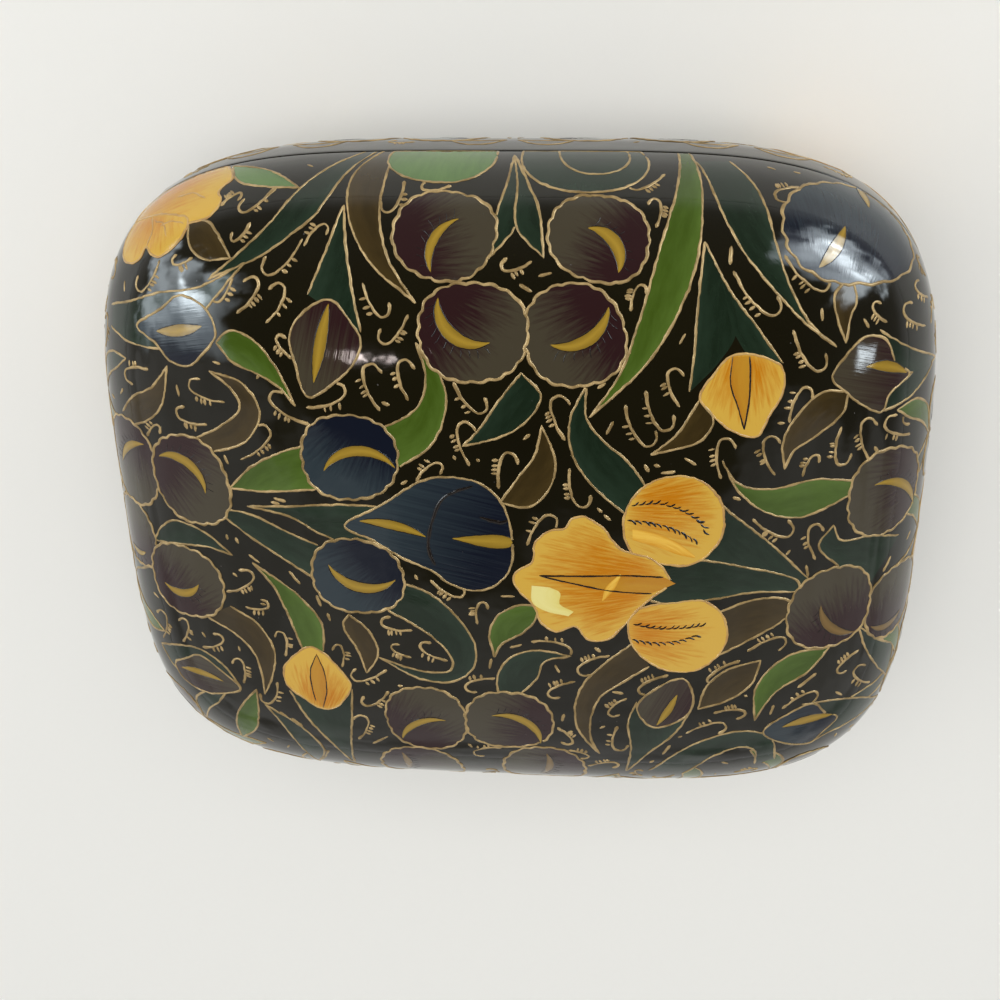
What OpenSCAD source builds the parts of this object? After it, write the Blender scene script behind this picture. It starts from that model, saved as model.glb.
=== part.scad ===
// A lacquered papier mache box with a lift-off lid, in millimetres.
// Both halves are pressed paper shells with a painted skin outside and a black lining inside.
// A collar glued inside the base stands above its rim, and the lid drops over it.
// The origin is the middle of the flat underside, +X is the long way and +Z is up.

/* [Outline] */
// Width of the box at its widest line
body_w = 127; // [115:1:145]
// Depth of the box at its widest line
body_d = 105.5; // [92:0.5:120]
// Squareness of the outline seen from above: 2 is an ellipse, higher is squarer
plan_q = 4.2; // [3:0.1:6]

/* [Lid] */
// Height of the crown above the widest line
crown_h = 27.5; // [22:0.5:36]
// Squareness of the crown's shoulder
crown_q = 3; // [2.4:0.1:4]
// Height of the joint between lid and base above the widest line
seam_rise = 4.5; // [2:0.5:6]

/* [Base] */
// Height of the widest line above the table
belly_h = 24.5; // [20:0.5:32]
// Squareness of the curve that turns in to the foot
belly_q = 2.2; // [2:0.1:3]
// Width of the flat underside
foot_w = 84; // [75:1:95]
// Thickness of the pressed paper floor
floor_t = 4; // [3:0.5:6]

/* [Walls] */
// Thickness of the pressed paper wall
paper_t = 3; // [2:0.25:4]
// Thickness of the painted ground and lacquer outside
skin_t = 0.8; // [0.5:0.1:1.2]
// Thickness of the black lining inside
lining_t = 0.5; // [0.4:0.1:1]

/* [Collar] */
// Thickness of the collar where the lid passes it
collar_t = 1.8; // [1.2:0.2:3]
// Height of the collar above the joint
collar_rise = 5; // [3:0.5:7]
// Depth to which the collar is glued below the widest line
collar_drop = 4; // [2:0.5:6]
// Bevel on the collar's top edge that leads the lid on
collar_bevel = 0.6; // [0.3:0.1:1]
// Gap between the collar and the lid's lining
lid_gap = 0.35; // [0.2:0.05:0.6]

/* [Fineness] */
// Facets around the outline
outline_points = 72; // [48:4:80]
// Facet rings up the crown
crown_rings = 9; // [7:1:10]
// Facet rings down the belly
belly_rings = 6; // [5:1:8]

/* [Hidden] */

// Depth moulded below the foot and then rubbed away flat
foot_waste = 1;

// Depth of each surface below the lacquer
paper_inset = skin_t;
lining_inset = skin_t + paper_t;
inside_inset = skin_t + paper_t + lining_t;

// Heights above the table
seam_z = belly_h + seam_rise;
collar_top_z = seam_z + collar_rise;
collar_foot_z = belly_h - collar_drop;

// Height at which the belly's curve would close if the foot didn't cut it off flat
belly_close = belly_h / pow(1 - pow(foot_w / body_w, belly_q), 1 / belly_q);

// Share of the full width that a curve of squareness q has left at a height
function share(rise, height, q) = pow(1 - pow(rise / height, q), 1 / q);

// Angle along that curve at which it reaches a height
function angle_at(rise, height, q) = asin(pow(rise / height, q / 2));

// One closed ring of points: the outline at a given half width, half depth and height
function ring(half_w, half_d, z) = [
    for (i = [0:outline_points - 1])
        let (
            turn = 360 * i / outline_points,
            reach = pow(pow(abs(cos(turn)) / half_w, plan_q)
                        + pow(abs(sin(turn)) / half_d, plan_q), -1 / plan_q)
        )
        [reach * cos(turn), reach * sin(turn), z]
];

// The ring of a surface that lies some depth below the lacquer, at a share of its full width
function inset_ring(inset, part_of, z) =
    ring((body_w / 2 - inset) * part_of, (body_d / 2 - inset) * part_of, z);

// Share of the full width at a height above or below the widest line
function crown_share(inset, z) = share(z - belly_h, crown_h - inset, crown_q);
function belly_share(inset, z) = share(belly_h - z, belly_close - inset, belly_q);

// Rings of one lid surface, from the joint up to just below the top
function crown_surface(inset) = [
    for (i = [0:crown_rings - 1])
        let (
            low = angle_at(seam_rise, crown_h - inset, crown_q),
            turn = low + (90 - low) * i / crown_rings,
            rise = (crown_h - inset) * pow(sin(turn), 2 / crown_q)
        )
        inset_ring(inset, pow(cos(turn), 2 / crown_q), i == 0 ? seam_z : belly_h + rise)
];

// Heights of the rings of a base surface between the widest line and a level below it
function belly_levels(inset, top_z, low_z) = [
    for (i = [1:belly_rings])
        let (
            high = angle_at(belly_h - top_z, belly_close - inset, belly_q),
            low = angle_at(belly_h - low_z, belly_close - inset, belly_q),
            turn = high + (low - high) * i / belly_rings
        )
        i == belly_rings ? low_z
            : belly_h - (belly_close - inset) * pow(sin(turn), 2 / belly_q)
];

// Rings of one base surface, from the level of the collar's foot down to a lower level
function belly_surface(inset, low_z) = [
    inset_ring(inset, belly_share(inset, collar_foot_z), collar_foot_z),
    for (z = belly_levels(inset, collar_foot_z, low_z)) inset_ring(inset, belly_share(inset, z), z)
];

// Rings of one base surface, from the joint down over the widest line to a lower level
function base_surface(inset, low_z) = concat(
    [
        inset_ring(inset, crown_share(inset, seam_z), seam_z),
        inset_ring(inset, 1, belly_h)
    ],
    belly_surface(inset, low_z)
);

// Faces between each ring and the next
function bands(from, to) = [
    for (j = [from:to - 1], i = [0:outline_points - 1])
        let (
            a = j * outline_points + i,
            b = j * outline_points + (i + 1) % outline_points,
            c = a + outline_points,
            d = b + outline_points
        )
        each [[a, c, b], [b, c, d]]
];

// Faces from one ring to a single point, facing the way the bands do
function fan(first, tip) = [
    for (i = [0:outline_points - 1]) [first + i, tip, first + (i + 1) % outline_points]
];

function flipped(faces) = [for (f = faces) [f[2], f[1], f[0]]];

// A bowl between two stacks of rings that start at one rim and close at their ends.
// The rings run away from the rim, and the far end of each stack closes in a point.
module bowl(outside, inside, outside_tip, inside_tip, upwards) {
    outside_count = len(outside);
    inside_count = len(inside);
    rings = concat([for (i = [outside_count - 1:-1:0]) outside[i]], inside);
    points = concat([for (r = rings) each r], [outside_tip, inside_tip]);
    tip = (outside_count + inside_count) * outline_points;
    last = tip - outline_points;
    faces = concat(
        bands(0, outside_count + inside_count - 1),
        flipped(fan(0, tip)),
        fan(last, tip + 1)
    );
    polyhedron(points, upwards ? faces : flipped(faces));
}

// A band of rings that closes on its first ring
module hoop(rings) {
    last = (len(rings) - 1) * outline_points;
    closing = [
        for (i = [0:outline_points - 1])
            let (next = (i + 1) % outline_points)
            each [[last + i, i, last + next], [last + next, i, next]]
    ];
    polyhedron([for (r = rings) each r], concat(bands(0, len(rings) - 1), closing));
}

// A lid layer between two depths below the lacquer
module lid_layer(outer_inset, inner_inset) {
    bowl(
        crown_surface(outer_inset),
        crown_surface(inner_inset),
        [0, 0, belly_h + crown_h - outer_inset],
        [0, 0, belly_h + crown_h - inner_inset],
        true
    );
}

// Pressed paper tub with a flat floor, rubbed down to a flat foot
module base_shell() {
    foot_ring = inset_ring(paper_inset, belly_share(paper_inset, 0), -foot_waste);
    color([0.62, 0.52, 0.38])
    difference() {
        bowl(
            concat(base_surface(paper_inset, 0), [foot_ring]),
            base_surface(lining_inset, floor_t),
            [0, 0, -foot_waste],
            [0, 0, floor_t],
            false
        );
        translate([-body_w / 2, -body_d / 2, -2 * foot_waste])
            cube([body_w, body_d, 2 * foot_waste]);
    }
}

// Painted and lacquered ground on the outside of the tub, from the joint to the foot
module base_lacquer_skin() {
    outside = base_surface(0, 0);
    inside = base_surface(paper_inset, 0);
    color([0.03, 0.05, 0.045])
    hoop(concat(outside, [for (i = [len(inside) - 1:-1:0]) inside[i]]));
}

// Black lining on the floor and the walls below the collar
module base_lining() {
    lined_floor_z = floor_t + lining_t;
    color([0.04, 0.035, 0.035])
    bowl(
        belly_surface(lining_inset, floor_t),
        belly_surface(inside_inset, lined_floor_z),
        [0, 0, floor_t],
        [0, 0, lined_floor_z],
        false
    );
}

// Pasteboard strip glued inside the base, which stands up inside the lid
module locating_collar() {
    lid_share = crown_share(inside_inset, collar_top_z);
    half_w = (body_w / 2 - inside_inset) * lid_share - lid_gap;
    half_d = (body_d / 2 - inside_inset) * lid_share - lid_gap;
    color([0.05, 0.045, 0.04])
    hoop([
        ring(half_w, half_d, collar_top_z - collar_bevel),
        ring(half_w, half_d, seam_z),
        inset_ring(lining_inset, crown_share(lining_inset, seam_z), seam_z),
        inset_ring(lining_inset, 1, belly_h),
        inset_ring(lining_inset, belly_share(lining_inset, collar_foot_z), collar_foot_z),
        ring(half_w - collar_t, half_d - collar_t, collar_foot_z),
        ring(half_w - collar_t, half_d - collar_t, collar_top_z),
        ring(half_w - collar_bevel, half_d - collar_bevel, collar_top_z)
    ]);
}

// Pressed paper crown
module lid_shell() {
    color([0.62, 0.52, 0.38])
    lid_layer(paper_inset, lining_inset);
}

// Painted and lacquered ground on the outside of the crown
module lid_lacquer_skin() {
    color([0.03, 0.05, 0.045])
    lid_layer(0, paper_inset);
}

// Black lining on the inside of the crown
module lid_lining() {
    color([0.04, 0.035, 0.035])
    lid_layer(lining_inset, inside_inset);
}

base_shell();
base_lacquer_skin();
base_lining();
locating_collar();
lid_shell();
lid_lacquer_skin();
lid_lining();
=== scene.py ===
"""A lacquered papier mache box with a lift-off lid, painted all over with irises, leaves and gold hooks.

The pillow-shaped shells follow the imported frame. The painting is laid on them as thin films and raised
gold lines, from a drawing made in millimetres on the lid laid flat: x and y there are measured along the
lid's surface from the middle of its crown, and on the tub's side along its widest line and down from the
joint. The sections follow the box as it is made: tub, collar, lid, painting, then the table it stands on.
"""
import math

import bmesh
import bpy
import mathutils
import numpy as np
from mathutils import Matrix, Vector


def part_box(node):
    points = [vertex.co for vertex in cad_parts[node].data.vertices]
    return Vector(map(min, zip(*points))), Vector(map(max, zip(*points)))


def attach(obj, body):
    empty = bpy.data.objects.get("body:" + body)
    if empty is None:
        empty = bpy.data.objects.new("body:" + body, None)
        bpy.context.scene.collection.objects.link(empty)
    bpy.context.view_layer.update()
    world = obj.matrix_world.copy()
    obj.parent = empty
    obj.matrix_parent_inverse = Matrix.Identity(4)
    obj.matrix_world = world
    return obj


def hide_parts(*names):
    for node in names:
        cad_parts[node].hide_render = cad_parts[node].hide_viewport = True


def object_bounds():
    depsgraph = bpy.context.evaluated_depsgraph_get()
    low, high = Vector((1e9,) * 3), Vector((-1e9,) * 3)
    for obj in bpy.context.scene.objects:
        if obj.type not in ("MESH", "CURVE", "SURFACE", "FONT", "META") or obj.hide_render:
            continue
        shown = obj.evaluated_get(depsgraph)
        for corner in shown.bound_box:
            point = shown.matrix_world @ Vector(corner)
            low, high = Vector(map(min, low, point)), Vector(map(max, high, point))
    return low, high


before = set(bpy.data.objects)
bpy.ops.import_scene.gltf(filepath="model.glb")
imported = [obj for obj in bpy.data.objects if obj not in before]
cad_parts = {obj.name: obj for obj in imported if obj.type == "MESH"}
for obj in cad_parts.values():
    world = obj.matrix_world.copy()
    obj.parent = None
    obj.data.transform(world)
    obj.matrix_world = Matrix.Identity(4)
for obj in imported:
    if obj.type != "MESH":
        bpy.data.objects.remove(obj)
cad_low, cad_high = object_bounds()

# The mould
# Both shells are layers of wet paper pressed over one carved wooden mould, shaped like a pillow.
# Its outline is a squared oval at every height, widest a little below the joint.
MM = 0.001
half_w = cad_high[0] / MM
half_d = cad_high[1] / MM
top_z = cad_high[2] / MM
seam_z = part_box("lid_shell")[0][2] / MM
widest_z = 24.5
foot_half_w = 42
outline_power = 4.2
crown_power = 3
belly_power = 2.2
crown_h = top_z - widest_z
belly_close = widest_z / (1 - (foot_half_w / half_w) ** belly_power) ** (1 / belly_power)
skin_t = 0.8
paper_t = 3
lining_t = 0.5
paper_inset = skin_t
lining_inset = skin_t + paper_t
inside_inset = lining_inset + lining_t
floor_t = 4
ring_points = 288
profile_step = 0.8
crown_samples = 400
side_samples = 200
axis_gap = 1e-4
merge_gap = 0.005 * MM


def width_share(z, inset=0):
    """Share of the full width that a surface some depth below the lacquer has left at a height."""
    if z >= widest_z:
        return (1 - ((z - widest_z) / (crown_h - inset)) ** crown_power) ** (1 / crown_power)
    return (1 - ((widest_z - z) / (belly_close - inset)) ** belly_power) ** (1 / belly_power)


def profile_point(z, inset=0):
    """Half width, half depth and height of a surface some depth below the lacquer."""
    share = width_share(z, inset)
    return ((half_w - inset) * share, (half_d - inset) * share, z)


def even_steps(points, step):
    """The same line with its points spread evenly, about one step apart."""
    points = np.asarray(points, float)
    gaps = np.linalg.norm(np.diff(points, axis=0), axis=1)
    reach = np.concatenate([[0], np.cumsum(gaps)])
    count = max(2, int(math.ceil(reach[-1] / step)) + 1)
    at = np.linspace(0, reach[-1], count)
    return np.stack([np.interp(at, reach, points[:, k]) for k in range(points.shape[1])], axis=1)


def crown_profile(inset):
    """A lid surface from the middle of the crown down to the joint."""
    low = math.asin(((seam_z - widest_z) / (crown_h - inset)) ** (crown_power / 2))
    turns = np.linspace(math.pi / 2, low, crown_samples)
    shares = np.cos(turns).clip(1e-6) ** (2 / crown_power)
    heights = widest_z + (crown_h - inset) * np.sin(turns) ** (2 / crown_power)
    line = np.stack([(half_w - inset) * shares, (half_d - inset) * shares, heights], axis=1)
    return even_steps(line, profile_step)


def side_profile(inset, high_z, low_z):
    """A tub surface from a height down to a lower one, over the widest line."""
    line = [profile_point(z, inset) for z in np.linspace(high_z, low_z, side_samples)]
    return even_steps(line, profile_step)


def node_adder(tree):
    """A function that adds a node to a tree, sets it up, and sets or links its inputs."""
    def add(kind, inputs=None, **settings):
        node = tree.nodes.new(kind)
        for key, value in settings.items():
            setattr(node, key, value)
        for key, value in (inputs or {}).items():
            if isinstance(value, bpy.types.NodeSocket):
                tree.links.new(value, node.inputs[key])
            else:
                node.inputs[key].default_value = value
        return node

    return add


def sum_adder(add):
    """A function that adds a sum to a tree. Each value is a number or the output of a node."""
    def total(operation, *values):
        return add("ShaderNodeMath", dict(enumerate(values)), operation=operation).outputs[0]

    return total


def new_tree(name, kind, inputs, outputs):
    """An empty node tree with its named sockets, its input and output nodes and its adder."""
    tree = bpy.data.node_groups.new(name, kind)
    for label, socket_type, *value in inputs:
        socket = tree.interface.new_socket(label, in_out="INPUT", socket_type=socket_type)
        if value:
            socket.default_value = value[0]
    for label, socket_type in outputs:
        tree.interface.new_socket(label, in_out="OUTPUT", socket_type=socket_type)
    add = node_adder(tree)
    return tree, add("NodeGroupInput").outputs, add("NodeGroupOutput").inputs, add


def finish_shape(tree, add, shape, paint, result):
    """Smooth shading and a material on a shape, which then leaves the tree as its result."""
    smooth = add("GeometryNodeSetShadeSmooth", {"Geometry": shape})
    real = add("GeometryNodeRealizeInstances", {0: smooth.outputs[0]})
    finished = add("GeometryNodeSetMaterial", {"Geometry": real.outputs[0], "Material": paint})
    tree.links.new(finished.outputs[0], result)


def mould_tree():
    """Geometry Nodes that carry a profile of half widths, half depths and heights round the outline."""
    tree, given, result, add = new_tree(
        "press_over_mould", "GeometryNodeTree",
        [
            ("Profile", "NodeSocketGeometry"),
            ("Outline Power", "NodeSocketFloat", outline_power),
            ("Points Around", "NodeSocketInt", ring_points),
            ("Finish", "NodeSocketMaterial"),
        ],
        [("Shell", "NodeSocketGeometry")],
    )
    total = sum_adder(add)
    size = add("GeometryNodeAttributeDomainSize", {"Geometry": given["Profile"]})
    columns = total("ADD", given["Points Around"], 1)
    grid = add("GeometryNodeMeshGrid", {"Vertices X": size.outputs["Point Count"], "Vertices Y": columns})
    index = add("GeometryNodeInputIndex").outputs[0]
    row = total("FLOOR", total("DIVIDE", total("ADD", index, 0.5), columns))
    column = total("SUBTRACT", index, total("MULTIPLY", row, columns))
    turn = total("MULTIPLY", total("DIVIDE", column, given["Points Around"]), 2 * math.pi)
    sample = add(
        "GeometryNodeSampleIndex",
        {"Geometry": given["Profile"], "Value": add("GeometryNodeInputPosition").outputs[0], "Index": row},
        data_type="FLOAT_VECTOR",
    )
    profile = add("ShaderNodeSeparateXYZ", {0: sample.outputs[0]}).outputs
    across, along = total("COSINE", turn), total("SINE", turn)
    terms = []
    for part, half in ((across, profile["X"]), (along, profile["Y"])):
        share = total("DIVIDE", total("ABSOLUTE", part), half)
        terms.append(total("POWER", share, given["Outline Power"]))
    inverse = total("DIVIDE", -1, given["Outline Power"])
    reach = total("POWER", total("ADD", *terms), inverse)
    x, y = total("MULTIPLY", reach, across), total("MULTIPLY", reach, along)
    place = add("ShaderNodeCombineXYZ", {"X": x, "Y": y, "Z": profile["Z"]})
    moved = add(
        "GeometryNodeSetPosition", {"Geometry": grid.outputs["Mesh"], "Position": place.outputs[0]}
    )
    merged = add("GeometryNodeMergeByDistance", {"Geometry": moved.outputs[0], "Distance": merge_gap})
    finish_shape(tree, add, merged.outputs[0], given["Finish"], result["Shell"])
    return tree


press_over_mould = mould_tree()


def tree_input(modifier, name, value):
    """Sets one named input of a Geometry Nodes modifier."""
    for item in modifier.node_group.interface.items_tree:
        if item.item_type == "SOCKET" and item.in_out == "INPUT" and item.name == name:
            modifier[item.identifier] = value


def grown(piece):
    """Turns the result of a piece's nodes into its plain mesh and takes the modifier off."""
    bpy.context.view_layer.update()
    shape = piece.evaluated_get(bpy.context.evaluated_depsgraph_get())
    mesh = bpy.data.meshes.new_from_object(shape)
    piece.modifiers.clear()
    piece.data = mesh
    mesh.name = piece.name
    return piece


def new_object(name, data):
    piece = bpy.data.objects.new(name, data)
    bpy.context.scene.collection.objects.link(piece)
    return piece


def pressed(name, profile, finish):
    """One closed layer pressed over the mould, from a profile in millimetres."""
    mesh = bpy.data.meshes.new(name)
    points = [(*(max(value, axis_gap) * MM for value in point[:2]), point[2] * MM) for point in profile]
    mesh.from_pydata(points, [], [])
    piece = new_object(name, mesh)
    nodes = piece.modifiers.new("mould", "NODES")
    nodes.node_group = press_over_mould
    tree_input(nodes, "Finish", finish)
    return grown(piece)


def corner(before, at, after, radius):
    """A small rounding of a profile's corner: three points on a curve that cuts it off."""
    before, at, after = (np.asarray(p, float) for p in (before, at, after))
    start = at + (before - at) / np.linalg.norm(before - at) * radius
    end = at + (after - at) / np.linalg.norm(after - at) * radius
    return [start, 0.25 * start + 0.5 * at + 0.25 * end, end]


# The finishes of the shells
# The ground is many coats of black paint rubbed smooth under a clear, deep and slightly wavy varnish.
# Inside and underneath it is a thinner brushed black, and the paper shows brown where that has worn.
def new_material(name):
    """A material, its Principled shader, a function that adds its nodes and one that links them."""
    material = bpy.data.materials.new(name)
    material.use_nodes = True
    tree = material.node_tree
    shader = tree.nodes["Principled BSDF"]

    def into(socket, value):
        tree.links.new(value, shader.inputs[socket])

    return material, shader, node_adder(tree), into


def mixed(add, share, first, second):
    """Two colours mixed by a share."""
    return add("ShaderNodeMix", {"Factor": share, 6: first, 7: second}, data_type="RGBA").outputs[2]


def ramp(add, value, *stops, blend="LINEAR"):
    """Colours along a value. Each stop is a place on it with its red, green and blue."""
    node = add("ShaderNodeValToRGB", {"Fac": value})
    node.color_ramp.interpolation = blend
    elements = node.color_ramp.elements
    for number, (place, colour) in enumerate(stops):
        stop = elements[number] if number < 2 else elements.new(place)
        stop.position = place
        stop.color = (*colour, 1)
    return node.outputs[0]


def bump(add, height, strength, deep):
    """The normal of a surface with a fine relief on it."""
    return add("ShaderNodeBump", {"Height": height, "Strength": strength, "Distance": deep}).outputs[0]


def varnish_group():
    """The waves, brush marks and specks of dust in the varnish, as one height and one mask."""
    tree, given, result, add = new_tree(
        "varnish_waves", "ShaderNodeTree",
        [("Wave Scale", "NodeSocketFloat", 170), ("Speck Scale", "NodeSocketFloat", 700)],
        [("Height", "NodeSocketFloat"), ("Specks", "NodeSocketFloat")],
    )
    place = add("ShaderNodeTexCoord").outputs["Object"]
    waves = add("ShaderNodeTexNoise", {"Vector": place, "Scale": given["Wave Scale"], "Detail": 2})
    spots = add("ShaderNodeTexVoronoi", {"Vector": place, "Scale": given["Speck Scale"]})
    near = spots.outputs["Distance"]
    specks = add("ShaderNodeMapRange", {"Value": near, "From Min": 0.07, "From Max": 0.04})
    thinning = add("ShaderNodeTexNoise", {"Vector": place, "Scale": 230})
    chosen = add("ShaderNodeMapRange", {"Value": thinning.outputs[0], "From Min": 0.6, "From Max": 0.66})
    total = sum_adder(add)
    both = total("MULTIPLY", specks.outputs[0], chosen.outputs[0])
    tree.links.new(total("MULTIPLY_ADD", both, speck_height, waves.outputs[0]), result["Height"])
    tree.links.new(both, result["Specks"])
    return tree


speck_height = 0.6
varnish_rough = 0.06
varnish_wave_h = 0.12 * MM
varnish_waves = varnish_group()


def varnished(name):
    """A colour under the clear varnish, whose gloss and slow waves it takes."""
    material, shader, add, into = new_material(name)
    shader.inputs["Roughness"].default_value = varnish_rough
    waves = add("ShaderNodeGroup", node_tree=varnish_waves).outputs
    into("Normal", bump(add, waves["Height"], 0.5, varnish_wave_h))
    return material, add, into, waves


def lacquer_material():
    material, add, into, waves = varnished("black_lacquer")
    place = add("ShaderNodeTexCoord").outputs["Object"]
    cloud = add("ShaderNodeTexNoise", {"Vector": place, "Scale": 35, "Detail": 4})
    ground = ramp(
        add, cloud.outputs[0], (0, (0.0046, 0.0038, 0.0014)), (1, (0.0115, 0.0095, 0.0038)),
    )
    into("Base Color", mixed(add, waves["Specks"], ground, (0.10, 0.09, 0.08, 1)))
    return material


brush_deep = 0.12 * MM
fibre_deep = 0.15 * MM


def brushed_black_material():
    material, shader, add, into = new_material("brushed_black")
    place = add("ShaderNodeTexCoord").outputs["Object"]
    stretched = add("ShaderNodeMapping", {"Vector": place, "Scale": (1, 1, 6)})
    strokes = add("ShaderNodeTexNoise", {"Vector": stretched.outputs[0], "Scale": 220, "Detail": 6})
    dark, worn = (0.3, (0.006, 0.006, 0.006)), (0.75, (0.022, 0.019, 0.016))
    into("Base Color", ramp(add, strokes.outputs[0], dark, worn))
    gloss = add("ShaderNodeMapRange", {"Value": strokes.outputs[0], "To Min": 0.28, "To Max": 0.5})
    into("Roughness", gloss.outputs[0])
    into("Normal", bump(add, strokes.outputs[0], 0.4, brush_deep))
    return material


def paper_material():
    material, shader, add, into = new_material("pressed_paper")
    place = add("ShaderNodeTexCoord").outputs["Object"]
    fibres = add("ShaderNodeTexNoise", {"Vector": place, "Scale": 900, "Detail": 6, "Roughness": 0.7})
    patches = add("ShaderNodeTexNoise", {"Vector": place, "Scale": 90, "Detail": 3})
    black = add("ShaderNodeMapRange", {"Value": patches.outputs[0], "From Min": 0.62, "From Max": 0.7})
    paper = ramp(add, fibres.outputs[0], (0, (0.10, 0.065, 0.035)), (1, (0.24, 0.17, 0.10)))
    into("Base Color", mixed(add, black.outputs[0], (0.010, 0.009, 0.008, 1), paper))
    shader.inputs["Roughness"].default_value = 0.55
    into("Normal", bump(add, fibres.outputs[0], 0.5, fibre_deep))
    return material


black_lacquer = lacquer_material()
brushed_black = brushed_black_material()
pressed_paper = paper_material()

# The tub
# A thick pressed paper bowl with a flat foot, a ground of black lacquer outside and a thin black
# lining inside. Its rim is rubbed flat, and the lid's edge is rubbed round above it, so that a fine
# black line is left all along the joint.
groove_deep = 0.7
rim_round = 0.15
lid_edge_h = 0.7
lid_edge_in = 0.25
lid_edge_low = 0.12
lid_edge_gap = 0.1


def inward(point, root, depth):
    """A point of a skin's face moved some depth towards the inside of the skin."""
    way = (np.asarray(root[:2]) - point[:2]) / skin_t
    return (point[0] + way[0] * depth, point[1] + way[1] * depth, point[2])


def centre_point(z):
    return (axis_gap, axis_gap, z)


tub_inside = side_profile(lining_inset, seam_z, floor_t)[::-1]
tub_outside = side_profile(paper_inset, seam_z, 0)
tub_paper = pressed(
    "tub_paper",
    [centre_point(floor_t), *tub_inside, *tub_outside, centre_point(0)],
    pressed_paper,
)
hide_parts("base_shell")
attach(tub_paper, "base")

skin_outside = side_profile(0, seam_z, 0)
skin_inside = side_profile(paper_inset, seam_z, 0)[::-1]
rim_root = skin_inside[-1]
rim_face = (*skin_outside[0][:2], seam_z - rim_round)
skin_rim = [
    inward(skin_outside[0], rim_root, groove_deep),
    inward(skin_outside[0], rim_root, rim_round),
    inward((*rim_face[:2], seam_z - rim_round * 0.3), rim_root, rim_round * 0.3),
    rim_face,
]
tub_lacquer = pressed(
    "tub_lacquer",
    [*skin_rim, *skin_outside[1:], *skin_inside, skin_rim[0]],
    black_lacquer,
)
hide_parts("base_lacquer_skin")
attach(tub_lacquer, "base")

collar_foot_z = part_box("locating_collar")[0][2] / MM
lined_floor_z = floor_t + lining_t
lining_face = side_profile(inside_inset, collar_foot_z, lined_floor_z)[::-1]
lining_back = side_profile(lining_inset, collar_foot_z, floor_t)
tub_lining = pressed(
    "tub_lining",
    [centre_point(lined_floor_z), *lining_face, *lining_back, centre_point(floor_t)],
    brushed_black,
)
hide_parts("base_lining")
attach(tub_lining, "base")

# The collar
# A strip of pasteboard glued inside the mouth of the tub and painted black. Its top stands inside
# the lid and its edge is bevelled, so that the lid finds its place.
collar_top_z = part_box("locating_collar")[1][2] / MM
lid_gap = 0.35
collar_t = 1.8
collar_edge = profile_point(collar_top_z, inside_inset)
collar_w = collar_edge[0] - lid_gap
collar_d = collar_edge[1] - lid_gap
collar_round = 0.6
collar_outer_top = (collar_w, collar_d, collar_top_z)
collar_inner_top = (collar_w - collar_t, collar_d - collar_t, collar_top_z)
collar_outer_seam = (collar_w, collar_d, seam_z)
collar_inner_foot = (collar_w - collar_t, collar_d - collar_t, collar_foot_z)
glued_side = side_profile(lining_inset, seam_z, collar_foot_z)
collar_line = [
    *corner(collar_inner_foot, collar_inner_top, collar_outer_top, collar_round),
    *corner(collar_inner_top, collar_outer_top, collar_outer_seam, collar_round),
    collar_outer_seam,
    *glued_side,
    collar_inner_foot,
]
collar = pressed("collar", [*collar_line, collar_line[0]], brushed_black)
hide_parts("locating_collar")
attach(collar, "base")

# The lid
# The same three layers pressed over the crown of the mould. It has no handle: it is lifted by its
# sides, and its rim closes on the tub's rim outside the collar.
paper_over = crown_profile(paper_inset)
paper_under = crown_profile(lining_inset)[::-1]
lid_paper = pressed("lid_paper", [*paper_over, *paper_under], pressed_paper)
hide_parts("lid_shell")
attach(lid_paper, "lid")

skin_over = crown_profile(0)
skin_under = crown_profile(paper_inset)[::-1]
edge_root = skin_under[0]
edge_face = []
for height in np.linspace(lid_edge_h, lid_edge_low, 6):
    depth = lid_edge_in * (1 - height / lid_edge_h) ** 2
    edge_face.append(inward(profile_point(seam_z + height), edge_root, depth))
lid_rim = [*edge_face, inward(skin_over[-1], edge_root, groove_deep)]
upper_face = [point for point in skin_over if point[2] > seam_z + lid_edge_h + lid_edge_gap]
lid_lacquer = pressed("lid_lacquer", [*upper_face, *lid_rim, *skin_under], black_lacquer)
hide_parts("lid_lacquer_skin")
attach(lid_lacquer, "lid")

lid_lining = pressed(
    "lid_inside",
    [*crown_profile(lining_inset), *crown_profile(inside_inset)[::-1]],
    brushed_black,
)
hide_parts("lid_lining")
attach(lid_lining, "lid")

# The drawing board
# The painter works on the closed box. Here each side of it is laid flat first: a place on the drawing
# is a direction and a distance along the surface, which is then carried back on to the mould.
direction_count = 361
directions = np.linspace(0, 2 * math.pi, direction_count)


def outline_reach(turn):
    """Distance from the axis to the widest outline in a direction."""
    x = np.abs(np.cos(turn)) / half_w
    y = np.abs(np.sin(turn)) / half_d
    return (x ** outline_power + y ** outline_power) ** (-1 / outline_power)


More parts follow.
